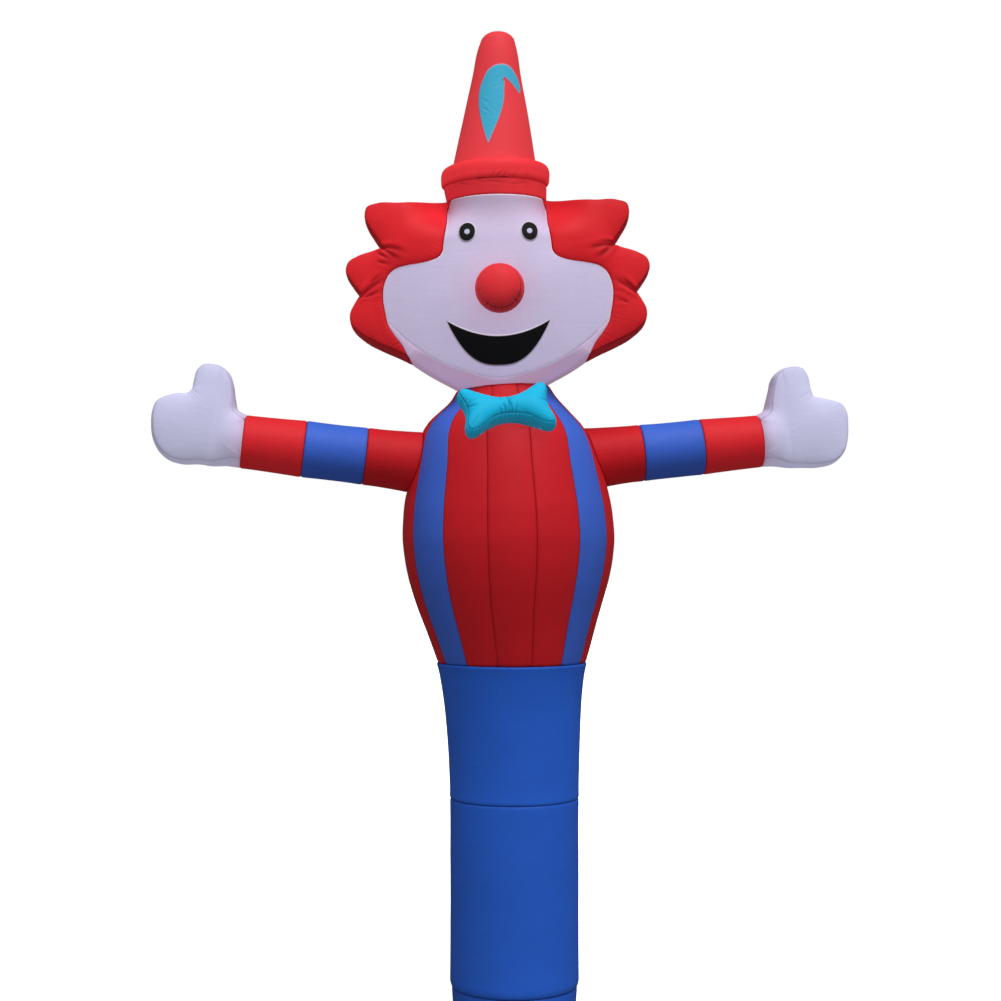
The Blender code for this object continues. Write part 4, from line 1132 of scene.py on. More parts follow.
@dataclass
class Torso:
    """The barrel of the body, sewn from gores; four of them are the blue braces."""

    gores: int = 14
    braces: tuple[int, ...] = (2, 5, 9, 12)
    valley: float = 0.012
    yaw: float = math.radians(2.0)
    # A painted sheen tints the blue braces.
    brace_warmth: float = 0.25
    splay: float = math.radians(10.0)
    splay_from: float = 1.95
    splay_to: float = 2.16
    across_cells: int = 20
    crowding: float = 2.6
    inner_share: float = 0.9999
    row: float = 0.0072
    armhole_step: float = 0.006
    armhole_sink: float = 0.004
    armhole_reach: float = 0.01
    armhole_far: float = 0.12

    def radius(self, height: Array | float, angle: Array) -> Array:
        """Works out a ring's radius, less a shallow valley at each gore's seams.

        Args:
            height: The height.
            angle: The angle from the front.

        Returns:
            The radius.
        """
        across = (angle - self.yaw) / (2 * math.pi / self.gores)
        aside = 2 * (across - np.round(across))
        return torso_radius(height) * (1 - self.valley * aside**2)

    def clear_of(self, points: Array) -> Array:
        """Measures how far points lie outside the torso's cloth, level with its axis.

        Args:
            points: The points.

        Returns:
            The distances.
        """
        across = points[..., 0] - spine(points[..., 2])
        height = np.minimum(points[..., 2] - neck_rise(across, points[..., 2]), NECK)
        return np.hypot(across, points[..., 1]) - self.radius(height, np.arctan2(across, -points[..., 1]))

    def gore(self, number: int, arms: Sequence["Arm"]) -> Cloth:
        """Makes one gore, with the arms' holes cut out of it.

        Args:
            number: Its number, from the front round to the right.
            arms: The figure's arms.

        Returns:
            The piece.
        """
        heights = np.linspace(WAIST, NECK, 600)
        ring = torso_radius(heights)
        along = lengths(grid(ring, heights))
        places = np.linspace(0, along[-1], int(along[-1] / self.row) + 1)
        height = np.interp(places, along, heights)[None, :]
        share = np.sin(np.linspace(-1, 1, self.across_cells + 1) * math.pi / self.crowding)
        share = share / math.sin(math.pi / self.crowding)
        angle = (2 * math.pi / self.gores * (number + share / 2))[:, None] + self.yaw
        within = np.clip(share, -self.inner_share, self.inner_share)
        inside = 2 * math.pi / self.gores * (number + within / 2)[:, None] + self.yaw
        high = (height - self.splay_from) / (self.splay_to - self.splay_from)
        splayed = angle + self.splay * np.sin(angle) * eased(high)
        points = round_body(self.radius(height, inside), height, splayed)
        points[..., 2] += neck_rise(points[..., 0] - spine(height), height)
        plane = grid(share[:, None] * ring.max() * math.pi / self.gores, places[None, :])
        shaped = np.zeros(points.shape[:2])
        keep = np.ones((points.shape[0] - 1, points.shape[1] - 1), bool)
        for arm in arms:
            away = arm.away(points)
            near = np.exp(-np.clip(away, 0, None) / self.armhole_reach)
            shaped -= self.armhole_sink * near * (away < self.armhole_far)
            centre = (points[:-1, :-1] + points[1:, 1:]) / 2
            keep &= arm.away(centre) > -self.armhole_step
        side = Seam(0.001, 0.0002, 0.012, 0.0004, 0.024, 0.012, seed=11)
        seams = {
            Edge.START: side,
            Edge.END: side,
            Edge.FIRST: Seam(0.0024, 0.0, 0.014, 0.0016, 0.014, 0.03, seed=12 + number),
            Edge.LAST: Seam(0.003, 0.001, 0.014, 0.0008, 0.014, 0.02, seed=13),
        }
        brace = number in self.braces
        axis = np.array([0, 0, (WAIST + NECK) / 2])
        return Cloth(f"torso_gore_{number + 1:02d}", BLUE if brace else RED, points, plane, axis, seams=seams,
                     line=0.35, shaped=shaped, keep=keep, warmth=self.brace_warmth * brace)

    def pieces(self, arms: Sequence["Arm"]) -> list[Cloth]:
        """Returns the gores, from the front one round."""
        return [self.gore(number, arms) for number in range(self.gores)]


# ---- arms


SLEEVE = rows_of(Ring, (0, WRIST_RADIUS), (0.212, 0.097), (0.425, 0.0985), (0.6, 0.105), (0.9, 0.109))
sleeve_radius = Profile(SLEEVE, "place", "radius")


class Side(Enum):
    """The two sides of the figure as the viewer sees them; the value points right."""

    LEFT = -1
    RIGHT = 1

    @property
    def word(self) -> str:
        """Returns the side's name as the nodes spell it."""
        return self.name.lower()


@dataclass
class Arm:
    """One arm: a red inner, a blue middle and a red outer band, from the torso to the wrist."""

    side: Side
    wrist: tuple[float, float, float]
    forward: float
    rise: float
    sides: int = 144
    outer_end: float = 0.212
    middle_end: float = 0.425
    buried: float = 0.004
    cut_radius: float = 0.098
    torso_between: tuple[float, float] = (0.3, 0.8)
    band: Seam = Seam(0.002, 0.0022, 0.03, 0.0006, 0.017, 0.018, seed=21)

    @property
    def axes(self) -> Array:
        """Finds the arm's directions.

        Returns:
            Rows: out along it, across it to the front, and up across it.
        """
        forward, rise = math.radians(self.forward), math.radians(self.rise)
        out = np.array([self.side.value * math.cos(forward) * math.cos(rise),
                        -math.sin(forward) * math.cos(rise), math.sin(rise)])
        front = unit(np.cross(out, (0, 0, 1)))
        front = front if front[1] < 0 else -front
        up = unit(np.cross(out, front))
        return np.array([out, front, up if up[2] > 0 else -up])

    def away(self, points: Array) -> Array:
        """Measures how far points lie outside the sleeve's tube.

        Args:
            points: The points.

        Returns:
            The distances; far where the sleeve doesn't reach.
        """
        out, front, up = self.axes
        from_wrist = points - np.array(self.wrist)
        back = -(from_wrist @ out)
        distance = np.hypot(from_wrist @ front, from_wrist @ up) - sleeve_radius(back)
        return np.where((back > 0) & (back < SLEEVE[-1].place), distance, 1.0)

    def tube(self, back: Array, angle: Array) -> Array:
        """Lays points on the sleeve, round its axis.

        Args:
            back: How far back from the wrist.
            angle: The angle up from the front.

        Returns:
            The points.
        """
        out, front, up = self.axes
        back, angle = np.broadcast_arrays(back, angle)
        around = np.cos(angle)[..., None] * front + np.sin(angle)[..., None] * up
        return np.array(self.wrist) - back[..., None] * out + sleeve_radius(back)[..., None] * around

    def meets(self, torso: Torso, angle: Array) -> Array:
        """Finds by halving where each line of the sleeve runs into the torso.

        Args:
            torso: The torso.
            angle: The lines' angles.

        Returns:
            How far back from the wrist they meet it.
        """
        clear, inside = (np.full(angle.shape, back) for back in self.torso_between)
        for _ in range(40):
            middle = (clear + inside) / 2
            outside = torso.clear_of(self.tube(middle, angle)) > 0
            clear, inside = np.where(outside, middle, clear), np.where(outside, inside, middle)
        return clear

    def piece(self, name: str, finish: Finish, start: Array, end: Array, far: Seam) -> Cloth:
        """Makes one band of the sleeve.

        Args:
            name: The band's name.
            finish: Its cloth.
            start: How far back from the wrist it starts, at each angle.
            end: How far back it ends.
            far: Its seam away from the wrist.

        Returns:
            The piece.
        """
        angle = turns(self.sides)
        share = steps(0.21, fine=0.0018, coarse=0.0085, ease=0.03, ends=(True, True))[None, :]
        back = start + (end - start) * share
        plane = grid(angle * self.cut_radius, back)
        seams = {Edge.FIRST: self.band, Edge.LAST: far}
        axis = np.array(self.wrist) - float(np.mean((start + end) / 2)) * self.axes[0]
        # The blue band gets a painted sheen.
        return Cloth(f"arm_{self.side.word}_{name}", finish, self.tube(back, angle), plane, axis,
                     closed=True, seams=seams, warmth=0.2 * (finish is BLUE), line=0.6)

    def pieces(self, torso: Torso) -> list[Cloth]:
        """Sews the three bands of the sleeve.

        Args:
            torso: The barrel that the inner band ends at.

        Returns:
            The bands, from the wrist in.
        """
        level = np.zeros((self.sides, 1))
        end = self.meets(torso, turns(self.sides)) + self.buried
        at_torso = Seam(0.0, 0.003, 0.03, 0.0014, 0.016, 0.03, seed=22)
        return [
            self.piece("outer_band", RED, level, level + self.outer_end, self.band),
            self.piece("middle_band", BLUE, level + self.outer_end, level + self.middle_end, self.band),
            self.piece("inner_band", RED, level + self.middle_end, end, at_torso),
        ]


# ---- hands


class MittenPoint(NamedTuple):
    """The mitten's outline from its hub: an angle from the wrist over the thumb, and both hands' reach."""

    angle: float
    left: float
    right: float


MITTEN = rows_of(
    MittenPoint,
    (32, 0.133, 0.135), (46, 0.12, 0.121), (60, 0.141, 0.138), (72, 0.183, 0.169), (80, 0.214, 0.206),
    (88, 0.229, 0.225), (96, 0.235, 0.233), (104, 0.234, 0.236), (109, 0.222, 0.229), (115, 0.19, 0.206),
    (122, 0.16, 0.172), (129, 0.156, 0.152), (139, 0.178, 0.166), (149, 0.199, 0.189), (158, 0.214, 0.211),
    (167, 0.213, 0.215), (180, 0.206, 0.209), (194, 0.2, 0.207), (207, 0.191, 0.206), (220, 0.175, 0.194),
    (235, 0.148, 0.164), (255, 0.119, 0.134), (280, 0.118, 0.126), (300, 0.128, 0.133), (314, 0.154, 0.154),
)
MITTEN_NOTCH = 11
HAND_CREASES = rows_of(
    Crease,
    (-0.086, 0.084, -30, 0.05, 0.003, 0.0019, 1.5), (-0.083, 0.09, -22, 0.056, 0.003, 0.0021, 1),
    (-0.08, 0.096, -14, 0.054, 0.003, 0.002), (-0.077, 0.103, -6, 0.048, 0.0028, 0.0018),
    (-0.074, 0.111, 4, 0.04, 0.0028, 0.0014), (-0.012, 0.205, -88, 0.11, 0.006, 0.0012),
    (0.075, 0.128, -150, 0.045, 0.0032, 0.0019), (0.08, 0.124, -132, 0.045, 0.0032, 0.0017),
    (0.084, 0.12, -112, 0.042, 0.0032, 0.0014),
)


@dataclass
class Hand:
    """A mitten with its thumb up: a front and a back panel, and the gusset that parts them."""

    arm: Arm
    hub: tuple[float, float] = (0.11, 0.02)
    edge_depth: float = 0.056
    middle_depth: float = 0.084
    inset: float = 0.008
    cuff_run: float = 0.6
    cuff_ease: float = 0.03
    cuff_fade: float = 0.1
    # The red sleeve's reflection is painted on the white mitten near the wrist.
    blush_strength: float = 0.9
    blush_fade: float = 0.03
    gather_ease: float = 0.06
    least_gather: float = 0.05
    roll: float = math.radians(5.0)
    spacing: float = 0.0046
    gusset_cells: int = 14

    def __post_init__(self) -> None:
        """Lays the seam line, its half depth and its distance inside the outline, row by row."""
        corner = WRIST_RADIUS * math.sqrt(0.5)
        reach = np.array([getattr(row, self.arm.side.word) for row in MITTEN])
        outline = polar(np.array([row.angle for row in MITTEN], float), reach) * [-1, 1]
        normals = outward(outline, False, np.zeros(2))
        normals[0], normals[-1] = (0, 1), (0, -1)
        inset = np.full(len(MITTEN), self.inset)
        for place, share in ((0, 1.0), (-1, 1.0), (1, 0.62), (-2, 0.62), (2, 0.2), (-3, 0.2)):
            inset[place] += (WRIST_RADIUS - corner - self.inset) * share
        outline[0] = (-self.hub[0], WRIST_RADIUS - self.hub[1])
        outline[-1] = (-self.hub[0], -WRIST_RADIUS - self.hub[1])
        self.seam = Line(outline - normals * inset[:, None], sharp=(MITTEN_NOTCH,))
        self.rows = self.seam.places(self.spacing)
        self.depth = self.half_depth(self.seam.at(self.rows))
        self.bulge = resample(inset, self.rows)

    @property
    def axes(self) -> Array:
        """Finds the hand's directions, rolled a little about the arm.

        Returns:
            Rows: out, to the front and up.
        """
        out, front, up = self.arm.axes
        cosine, sine = math.cos(self.roll), math.sin(self.roll)
        return np.array([out, front * cosine + up * sine, up * cosine - front * sine])

    @property
    def middle(self) -> Array:
        """Returns the hub's place in the figure."""
        return np.array(self.arm.wrist) + self.hub[0] * self.axes[0] + self.hub[1] * self.axes[2]

    def place(self, flat: Array, depth: Array) -> Array:
        """Returns the figure's points over flat points of the hand, at a depth to the front."""
        out, front, up = self.axes
        return laid_out(self.middle, (out, up, front), flat, depth)

    def half_depth(self, flat: Array) -> Array:
        """Works out half the hand's depth: the sleeve's arc at the cuff, eased into a level edge.

        Args:
            flat: Flat points of the hand.

        Returns:
            The half depths.
        """
        corner = WRIST_RADIUS * math.sqrt(0.5)
        along, up = flat[..., 0] + self.hub[0], flat[..., 1] + self.hub[1]
        tight, loose = np.clip(up, -corner, corner), corner * np.tanh(up / corner)
        arc = np.sqrt(WRIST_RADIUS**2 - (tight + (loose - tight) * eased(along / self.cuff_ease)) ** 2)
        return arc + (self.edge_depth - arc) * eased(along / self.cuff_fade)

    def blush(self, flat: Array) -> Array:
        """Returns how strongly the red sleeve's reflection is painted on the cloth, which fades away from the
        wrist.
        """
        return self.blush_strength * np.exp(-np.clip(flat[..., 0] + self.hub[0], 0, None) / self.blush_fade)

    def gathered(self, flat: Array) -> Array:
        """Returns the weight of the seams' gathers, which fades towards the wrist."""
        return eased((flat[:, :1] + self.hub[0]) / self.gather_ease) + self.least_gather

    def panel(self, name: str, side: int) -> Cloth:
        """Makes the front (1) or the back (-1) panel, from its middle out to the seam and the wrist.

        Args:
            name: The panel's name.
            side: Which of the two it is.

        Returns:
            The piece.
        """
        wrist = np.radians(np.linspace(-45, 45, 30)[1:-1])
        cuff = grid(np.full_like(wrist, -self.hub[0]), np.sin(wrist) * WRIST_RADIUS - self.hub[1])
        border = np.concatenate([self.seam.at(self.rows), cuff])
        share = steps(0.18, fine=0.0018, coarse=0.0075, ease=0.03, ends=(False, True))[None, :]
        flat = border[:, None] * share[..., None]
        depth = self.half_depth(flat)
        runs_on = np.concatenate([0 * self.rows, np.cos(2 * wrist)])[:, None] ** 2
        weight = self.gathered(border)
        seam = Seam(0.0006, 0.0012, 0.014, 0.0024, 0.012, 0.018, seed=31 + side, weight=weight)
        # The cuff's edge gets the painted highlight line.
        return Cloth(f"hand_{self.arm.side.word}_{name}", WHITE, self.place(flat, side * depth), flat,
                     self.middle, closed=True, hub=True, seams={Edge.LAST: seam}, creases=HAND_CREASES,
                     puff=self.middle_depth - self.edge_depth, fullness=0.62, warmth=self.blush(flat),
                     line=2.2, runs_on=self.cuff_run * runs_on, bright_line=np.ceil(runs_on))

    def gusset(self) -> Cloth:
        """Makes the gusset: from wrist to wrist, swollen between its two seams on an arc of a circle.

        Returns:
            The piece.
        """
        line = self.seam.at(self.rows)
        normals = outward(line, False, np.zeros(2))
        normals[0], normals[-1] = (0, 1), (0, -1)
        across = np.linspace(-1, 1, self.gusset_cells + 1)[None, :]
        swell = self.bulge[:, None] * (np.sqrt(2 - across**2) - 1) / (math.sqrt(2) - 1)
        flat = line[:, None] + normals[:, None] * swell[..., None]
        depth = self.depth[:, None] * across
        plane = grid(lengths(line)[:, None], depth)
        side = Seam(0.0006, 0.0008, 0.012, 0.0022, 0.0125, 0.018, seed=34, weight=self.gathered(line))
        seams = both_sides(side) | {Edge.START: Seam(lip=0.001), Edge.END: Seam(lip=0.001)}
        return Cloth(f"hand_{self.arm.side.word}_gusset", WHITE, self.place(flat, depth), plane, self.middle,
                     seams=seams, warmth=self.blush(flat), line=2.2)

    def pieces(self) -> list[Cloth]:
        """Returns the hand's three pieces."""
        return [self.panel("front", 1), self.panel("back", -1), self.gusset()]


# ---- head


class HairPoint(NamedTuple):
    """A cut through a side's hair, at an angle about the head's middle: its rim and its seam to the face."""

    angle: float
    rim: float
    seam: float


class Reach(NamedTuple):
    """A point of a line round the head's middle."""

    angle: float
    reach: float


HAIR = rows_of(
    HairPoint,
    (118.9, 0.3485, 0.344), (122, 0.354, 0.322), (130, 0.383, 0.272), (139.5, 0.4385, 0.239),
    (145.5, 0.501, 0.225), (149, 0.5235, 0.218), (152, 0.5155, 0.216), (156, 0.472, 0.22),
    (161, 0.412, 0.24), (164.5, 0.447, 0.268), (168, 0.493, 0.315), (171, 0.521, 0.354),
    (174, 0.526, 0.374), (178, 0.505, 0.387), (183, 0.471, 0.396), (187, 0.498, 0.399), (190.5, 0.519, 0.4),
    (194, 0.524, 0.401), (198.9, 0.502, 0.4035), (205, 0.461, 0.398), (212, 0.42, 0.391),
    (218, 0.397, 0.397),
)
HAIR_NOTCHES = (1, 8, 14)
CHEEK_ROW = 18
CHIN = rows_of(
    Reach,
    (198.9, 0.4035), (212, 0.368), (224, 0.347), (237, 0.3334), (248, 0.3244), (259, 0.3242), (270, 0.327),
)
NAPE = rows_of(Reach, (218, 0.397), (226, 0.365), (237, 0.343), (248, 0.329), (259, 0.326), (270, 0.327))
HAIR_CREASES = {
    Side.LEFT: rows_of(
        Crease,
        (-0.396, 0.131, -8, 0.105, 0.0055, 0.008, -1.5), (-0.396, 0.127, -38, 0.1, 0.0055, 0.007, 0.8),
        (-0.4, 0.105, -30, 0.075, 0.0045, 0.0035), (-0.405, 0.078, -14, 0.06, 0.0045, 0.0028),
        (-0.474, -0.038, 40, 0.13, 0.006, 0.0085, -0.6), (-0.455, -0.04, 22, 0.08, 0.005, 0.004),
        (-0.43, 0.014, 34, 0.06, 0.004, 0.0024), (-0.372, -0.1, 62, 0.06, 0.0045, 0.002),
    ),
    Side.RIGHT: rows_of(
        Crease,
        (-0.396, 0.131, -16, 0.11, 0.0055, 0.008, 0.6), (-0.396, 0.127, -41, 0.09, 0.0055, 0.0075),
        (-0.392, 0.138, -2, 0.07, 0.0045, 0.0034, -1.5), (-0.474, -0.036, 33, 0.11, 0.0055, 0.008),
        (-0.474, -0.03, 46, 0.09, 0.0045, 0.005, -1), (-0.44, -0.07, 18, 0.06, 0.005, 0.0026),
    ),
}


@dataclass
class HeadForm:
    """The head's shape: flat outlines in its own plane, right and up from its middle, and a half depth."""

    middle: tuple[float, float, float] = (-0.028, 0.0, 2.59)
    lean: float = math.radians(0.9)
    crown_depth: float = 0.218
    edge_depth: float = 0.15
    span: tuple[float, float] = (0.44, 0.42)
    crown: float = 1.3
    shoulder: float = 0.14
    ring_up: float = 0.305
    ring_radius: float = 0.175
    corner: float = 0.1685
    hair_at_ring: float = 0.16
    hair_swell: float = 0.16
    spacing: float = 0.0048

    def __post_init__(self) -> None:
        """Lays the seams that the head's pieces share."""
        angle = np.array([row.angle for row in HAIR], float)
        seam = polar(angle, np.array([row.seam for row in HAIR]))
        rim = polar(angle, np.array([row.rim for row in HAIR]))
        seam[0], rim[0] = (-self.hair_at_ring, self.ring_up), (-self.corner, self.ring_up)
        self.seam, self.rim = Line(seam), Line(rim, sharp=HAIR_NOTCHES)
        self.chin, self.nape = self.whole(CHIN), self.whole(NAPE)
        self.rim_rows = self.rim.places(self.spacing)

    def whole(self, half: Sequence[Reach]) -> Line:
        """Returns a smooth line through a table's points and their mirror images."""
        points = polar(np.array([row.angle for row in half], float), np.array([row.reach for row in half]))
        return Line(np.concatenate([points, (points * [-1, 1])[-2::-1]]))

    def depth(self, flat: Array) -> Array:
        """Works out half the head's depth: a low dome that the hat's ring draws in at the top.

        Args:
            flat: Points of the head's plane.

        Returns:
            The half depths.
        """
        right, up = flat[..., 0], flat[..., 1]
        dome = np.clip(1 - (right / self.span[0]) ** 2 - (up / self.span[1]) ** 2, 0, 1) ** self.crown
        body = self.edge_depth + (self.crown_depth - self.edge_depth) * dome
        corner = math.sqrt(self.ring_radius**2 - self.corner**2)
        ring = np.sqrt(np.maximum(self.ring_radius**2 - right**2, corner**2))
        ring = ring + (self.edge_depth - corner) * eased((np.abs(right) - self.corner) / self.hair_swell)
        t = np.clip((up - self.shoulder) / (self.ring_up - self.shoulder), 0, 1)
        return body + (ring - body) * t**3 * (10 - 15 * t + 6 * t**2)

    def place(self, flat: Array, back: Array) -> Array:
        """Lays flat points of the head in the figure.

        Args:
            flat: Their places to the right and up.
            back: Their distance behind the head's plane.

        Returns:
            The points.
        """
        cosine, sine = math.cos(self.lean), math.sin(self.lean)
        right, up = flat[..., 0], flat[..., 1]
        turned = grid(right * cosine - up * sine, back, right * sine + up * cosine)
        return np.array(self.middle) + turned

    def over(self, flat: Array, side: int) -> Array:
        """Returns points on the head's front (-1) or back (1) over flat points."""
        return self.place(flat, side * self.depth(flat))

    def border(self, corner: float, sewn: Array, under: Array) -> Array:
        """Joins half a panel's outline and mirrors it.

        Args:
            corner: How far the top edge runs along the hat's ring.
            sewn: The outline along the hair.
            under: The outline on to the bottom's middle.

        Returns:
            The whole outline, from the top's middle round.
        """
        across = -np.linspace(0, corner, int(corner / self.spacing) + 1)[:-1]
        top = grid(across, np.full_like(across, self.ring_up))
        return mirrored(np.concatenate([top, sewn, under[1:]]))


@dataclass
class Skin:
    """The front of a finished panel round its hub, which other pieces are laid on."""

    border: Array
    share: Array
    points: Array

    def at(self, flat: Array) -> Array:
        """Reads the panel's surface at flat points, straight between the grid's points.

        Args:
            flat: Points inside the border.

        Returns:
            The surface's points.
        """
        angle = np.unwrap(np.arctan2(self.border[:, 1], self.border[:, 0]))
        wanted = np.arctan2(flat[..., 1], flat[..., 0])
        wanted = angle[0] + np.mod(wanted - angle[0], 2 * math.pi)
        rows = np.interp(wanted, np.append(angle, angle[0] + 2 * math.pi), np.arange(len(angle) + 1))
        before = np.floor(rows).astype(int)
        after, t = (before + 1) % len(angle), (rows - before)[..., None]
        before = before % len(angle)
        reach = np.linalg.norm(self.border[before] * (1 - t) + self.border[after] * t, axis=-1)
        share = np.linalg.norm(flat, axis=-1) / reach
        columns = np.interp(share, self.share, np.arange(len(self.share)))
        inner = np.clip(np.floor(columns).astype(int), 0, len(self.share) - 2)
        s = (columns - inner)[..., None]
        near = self.points[before, inner] * (1 - s) + self.points[before, inner + 1] * s
        far = self.points[after, inner] * (1 - s) + self.points[after, inner + 1] * s
        return near * (1 - t) + far * t


@dataclass
class Head:
    """The white face, the hair's boxed lobes, the back of the head, and the funnel down to the neck."""

    form: HeadForm = field(default_factory=HeadForm)
    gusset_bulge: float = 0.0065
    gusset_cells: int = 22
    funnel_seam: float = 65.0
    funnel_swell: float = 0.045
    funnel_length: float = 0.12
    hair_middle: tuple[float, float] = (-0.3, 0.0)
    face_puff: float = 0.006
    hair_puff: float = 0.022
    back_puff: float = 0.018
    share: Array = field(init=False)
    face_border: Array = field(init=False)

    def panel(self, node: str, finish: Finish, border: Array, side: int, puff: float, seam: Seam) -> Cloth:
        """Makes a panel from the head's middle to its border.

        Args:
            node: The node it stands for.
            finish: Its cloth.
            border: Its flat outline.
            side: In front (-1) or at the back (1).
            puff: How far it is blown up.
            seam: How it is sewn round its border.

        Returns:
            The piece.
        """
        share = steps(0.34, fine=0.002, coarse=0.013, ease=0.035, ends=(False, True))
        flat = border[:, None] * share[None, :, None]
        self.share = share
        return Cloth(node, finish, self.form.over(flat, side), flat, self.form.middle, closed=True, hub=True,
                     seams={Edge.LAST: seam}, puff=puff)

    def face(self) -> Cloth:
        """Makes the white face.

        Returns:
            The piece.
        """
        form = self.form
        sewn = form.seam.at(form.seam.places(form.spacing, 0, CHEEK_ROW))
        under = form.chin.at(form.chin.places(form.spacing, 0, len(CHIN) - 1))
        self.face_border = form.border(form.hair_at_ring, sewn, under)
        seam = Seam(0.0016, 0.0012, 0.012, 0.0019, 0.0105, 0.017, seed=41)
        made = self.panel("face_panel", WHITE, self.face_border, -1, self.face_puff, seam)
        up = made.plane[..., 1]
        # Painted shade dims the glow of the forehead, which faces up; the red round the face is painted on as
        # a reflection, most on the forehead and beside the nose.
        forehead = eased((up - 0.08) / 0.22)
        made.cool = forehead
        beside_nose = np.exp(-((np.hypot(made.plane[..., 0], up + 0.07) / 0.12) ** 2))
        made.warmth = 0.4 + 0.4 * forehead + 0.4 * beside_nose
        # A painted highlight runs along the seam's lip at the top and the sides of the face.
        along = np.abs(self.face_border[:, :1]) / np.maximum(-self.face_border[:, 1:], 0.001)
        made.bright_line = ((self.face_border[:, 1:] > 0) | (along > 2.0)) * 1.0
        return made

    def back(self) -> Cloth:
        """Makes the one red panel of the back of the head.

        Returns:
            The piece.
        """
        form = self.form
        under = form.nape.at(form.nape.places(form.spacing, 0, len(NAPE) - 1))
        border = form.border(form.corner, form.rim.at(form.rim_rows), under)
        seam = Seam(0.0, 0.0012, 0.016, 0.003, 0.018, 0.032, seed=42)
        made = self.panel("hair_back", RED, border, 1, self.back_puff, seam)
        made.creases = (*HAIR_CREASES[Side.LEFT], *(crease.mirrored() for crease in HAIR_CREASES[Side.RIGHT]))
        return made

    def turned(self, flat: Array | tuple[float, float], side: Side) -> Array:
        """Returns flat points of the left side, or their mirror images for the right."""
        return flat * np.array([-side.value, 1])

    def hair(self, side: Side) -> list[Cloth]:
        """Makes one side's front hair panel and its gusset.

        Args:
            side: The side.

        Returns:
            The two pieces.
        """
        form, rows = self.form, self.form.rim_rows
        seam, rim = form.seam.at(rows)[:, None], form.rim.at(rows)[:, None]
        share = steps(0.2, fine=0.002, coarse=0.007, ease=0.03, ends=(True, True))[None, :, None]
        flat = seam * (1 - share) + rim * share
        sewn = {
            Edge.FIRST: Seam(0.0032, 0.0014, 0.014, 0.0024, 0.0135, 0.026, seed=43 + side.value),
            Edge.LAST: Seam(0.0, 0.0012, 0.014, 0.0018, 0.016, 0.024, seed=46 + side.value),
            Edge.START: Seam(0.0016, 0.0, 0.012, 0.001, 0.008, 0.03, seed=48),
        }
        inside = form.place(self.turned(self.hair_middle, side), np.array(0.0))
        # Painted shade dims the painted glow at the lobes' bottoms and near the hat.
        low, high = eased((0.02 - flat[..., 1]) / 0.32), eased((flat[..., 1] - 0.22) / 0.08)
        front = Cloth(f"hair_front_{side.word}", RED, form.over(self.turned(flat, side), -1), flat, inside,
                      drawn=True, seams=sewn, creases=HAIR_CREASES[side], puff=self.hair_puff, fullness=0.58,
                      cool=0.85 * low + 0.35 * high)
        line = rim[:, 0]
        normals = outward(line, False, self.hair_middle)
        normals[0] = (-1, 0)
        across = np.linspace(-1, 1, self.gusset_cells + 1)[None, :]
        swollen = rim + normals[:, None] * (self.gusset_bulge * (1 - across**2))[..., None]
        back = form.depth(rim) * across
        plane = grid(lengths(line)[:, None], back)
        edge = Seam(0.0, 0.001, 0.014, 0.002, 0.017, 0.022, seed=49)
        end = Seam(0.0016)
        gusset = Cloth(f"hair_gusset_{side.word}", RED, form.place(self.turned(swollen, side), back), plane,
                       inside, seams=both_sides(edge) | {Edge.START: end, Edge.END: end})
        return [front, gusset]

    def neck(self, side: Side, angle: Array) -> Array:
        """Lays points on the neck's ring.

        Args:
            side: Which way round.
            angle: Degrees from the front.

        Returns:
            The points.
        """
        points = round_body(np.array(NECK_RADIUS), np.array(NECK), side.value * np.radians(angle))
        points[..., 2] += neck_rise(points[..., 0] - spine(NECK), NECK)
        return points

    def drawn_in(self, upper: Array, lower: Array, share: Array) -> Array:
        """Spans two edges with straight lines, swollen in a parabola away from the head's axis.

        Args:
            upper: The upper edge.
            lower: The lower edge.
            share: Places from 0 to 1 between them.

        Returns:
            The points.
        """
        share = share[None, :, None]
        run = np.linalg.norm(lower - upper, axis=-1)[:, None, None]
        swell = self.funnel_swell * run * 4 * share * (1 - share)
        away = unit((upper + lower - 2 * np.array(self.form.middle)) * [1, 1, 0])[:, None]
        return upper[:, None] * (1 - share) + lower[:, None] * share + away * swell

    def side_seam(self, side: Side, share: Array) -> Array:
        """Returns points down the seam between the funnel's two strips."""
        corner = self.form.over(self.turned(self.form.rim.at(len(HAIR) - 1), side), -1)
        return self.drawn_in(corner, self.neck(side, np.array([self.funnel_seam])), share)[0]

    def funnel_edges(self, side: Side) -> tuple[Array, Array, Array, Array]:
        """Lays one side's edges of the funnel's two strips.

        The front strip's lower edge follows the hair from the cheek for three rows, the side seam for three,
        and the neck's ring for six. The back strip's upper edge follows the gusset's foot, then the nape.

        Args:
            side: The side.

        Returns:
            The front strip's upper and lower edges, and the back strip's.
        """
        form, turned = self.form, self.turned
        row = np.linspace(0, 12, 110)
        chin = form.over(turned(form.chin.at(row / 2), side), -1)
        cheek, down, ring = row <= 3, (row > 3) & (row <= 6), row > 6
        lower = np.concatenate([
            form.over(turned(form.seam.at(CHEEK_ROW + row[cheek]), side), -1),
            self.side_seam(side, (row[down] - 3) / 3),
            self.neck(side, self.funnel_seam * (12 - row[ring]) / 6),
        ])
        row = np.linspace(0, 8, 80)
        foot, nape = row <= 3, row > 3
        corner = turned(form.rim.at(len(HAIR) - 1), side)
        upper = np.concatenate([
            form.place(corner, form.depth(corner) * (2 * row[foot] / 3 - 1)),
            form.over(turned(form.nape.at(row[nape] - 3), side), 1),
        ])
        return chin, lower, upper, self.neck(side, self.funnel_seam + (180 - self.funnel_seam) * row / 8)

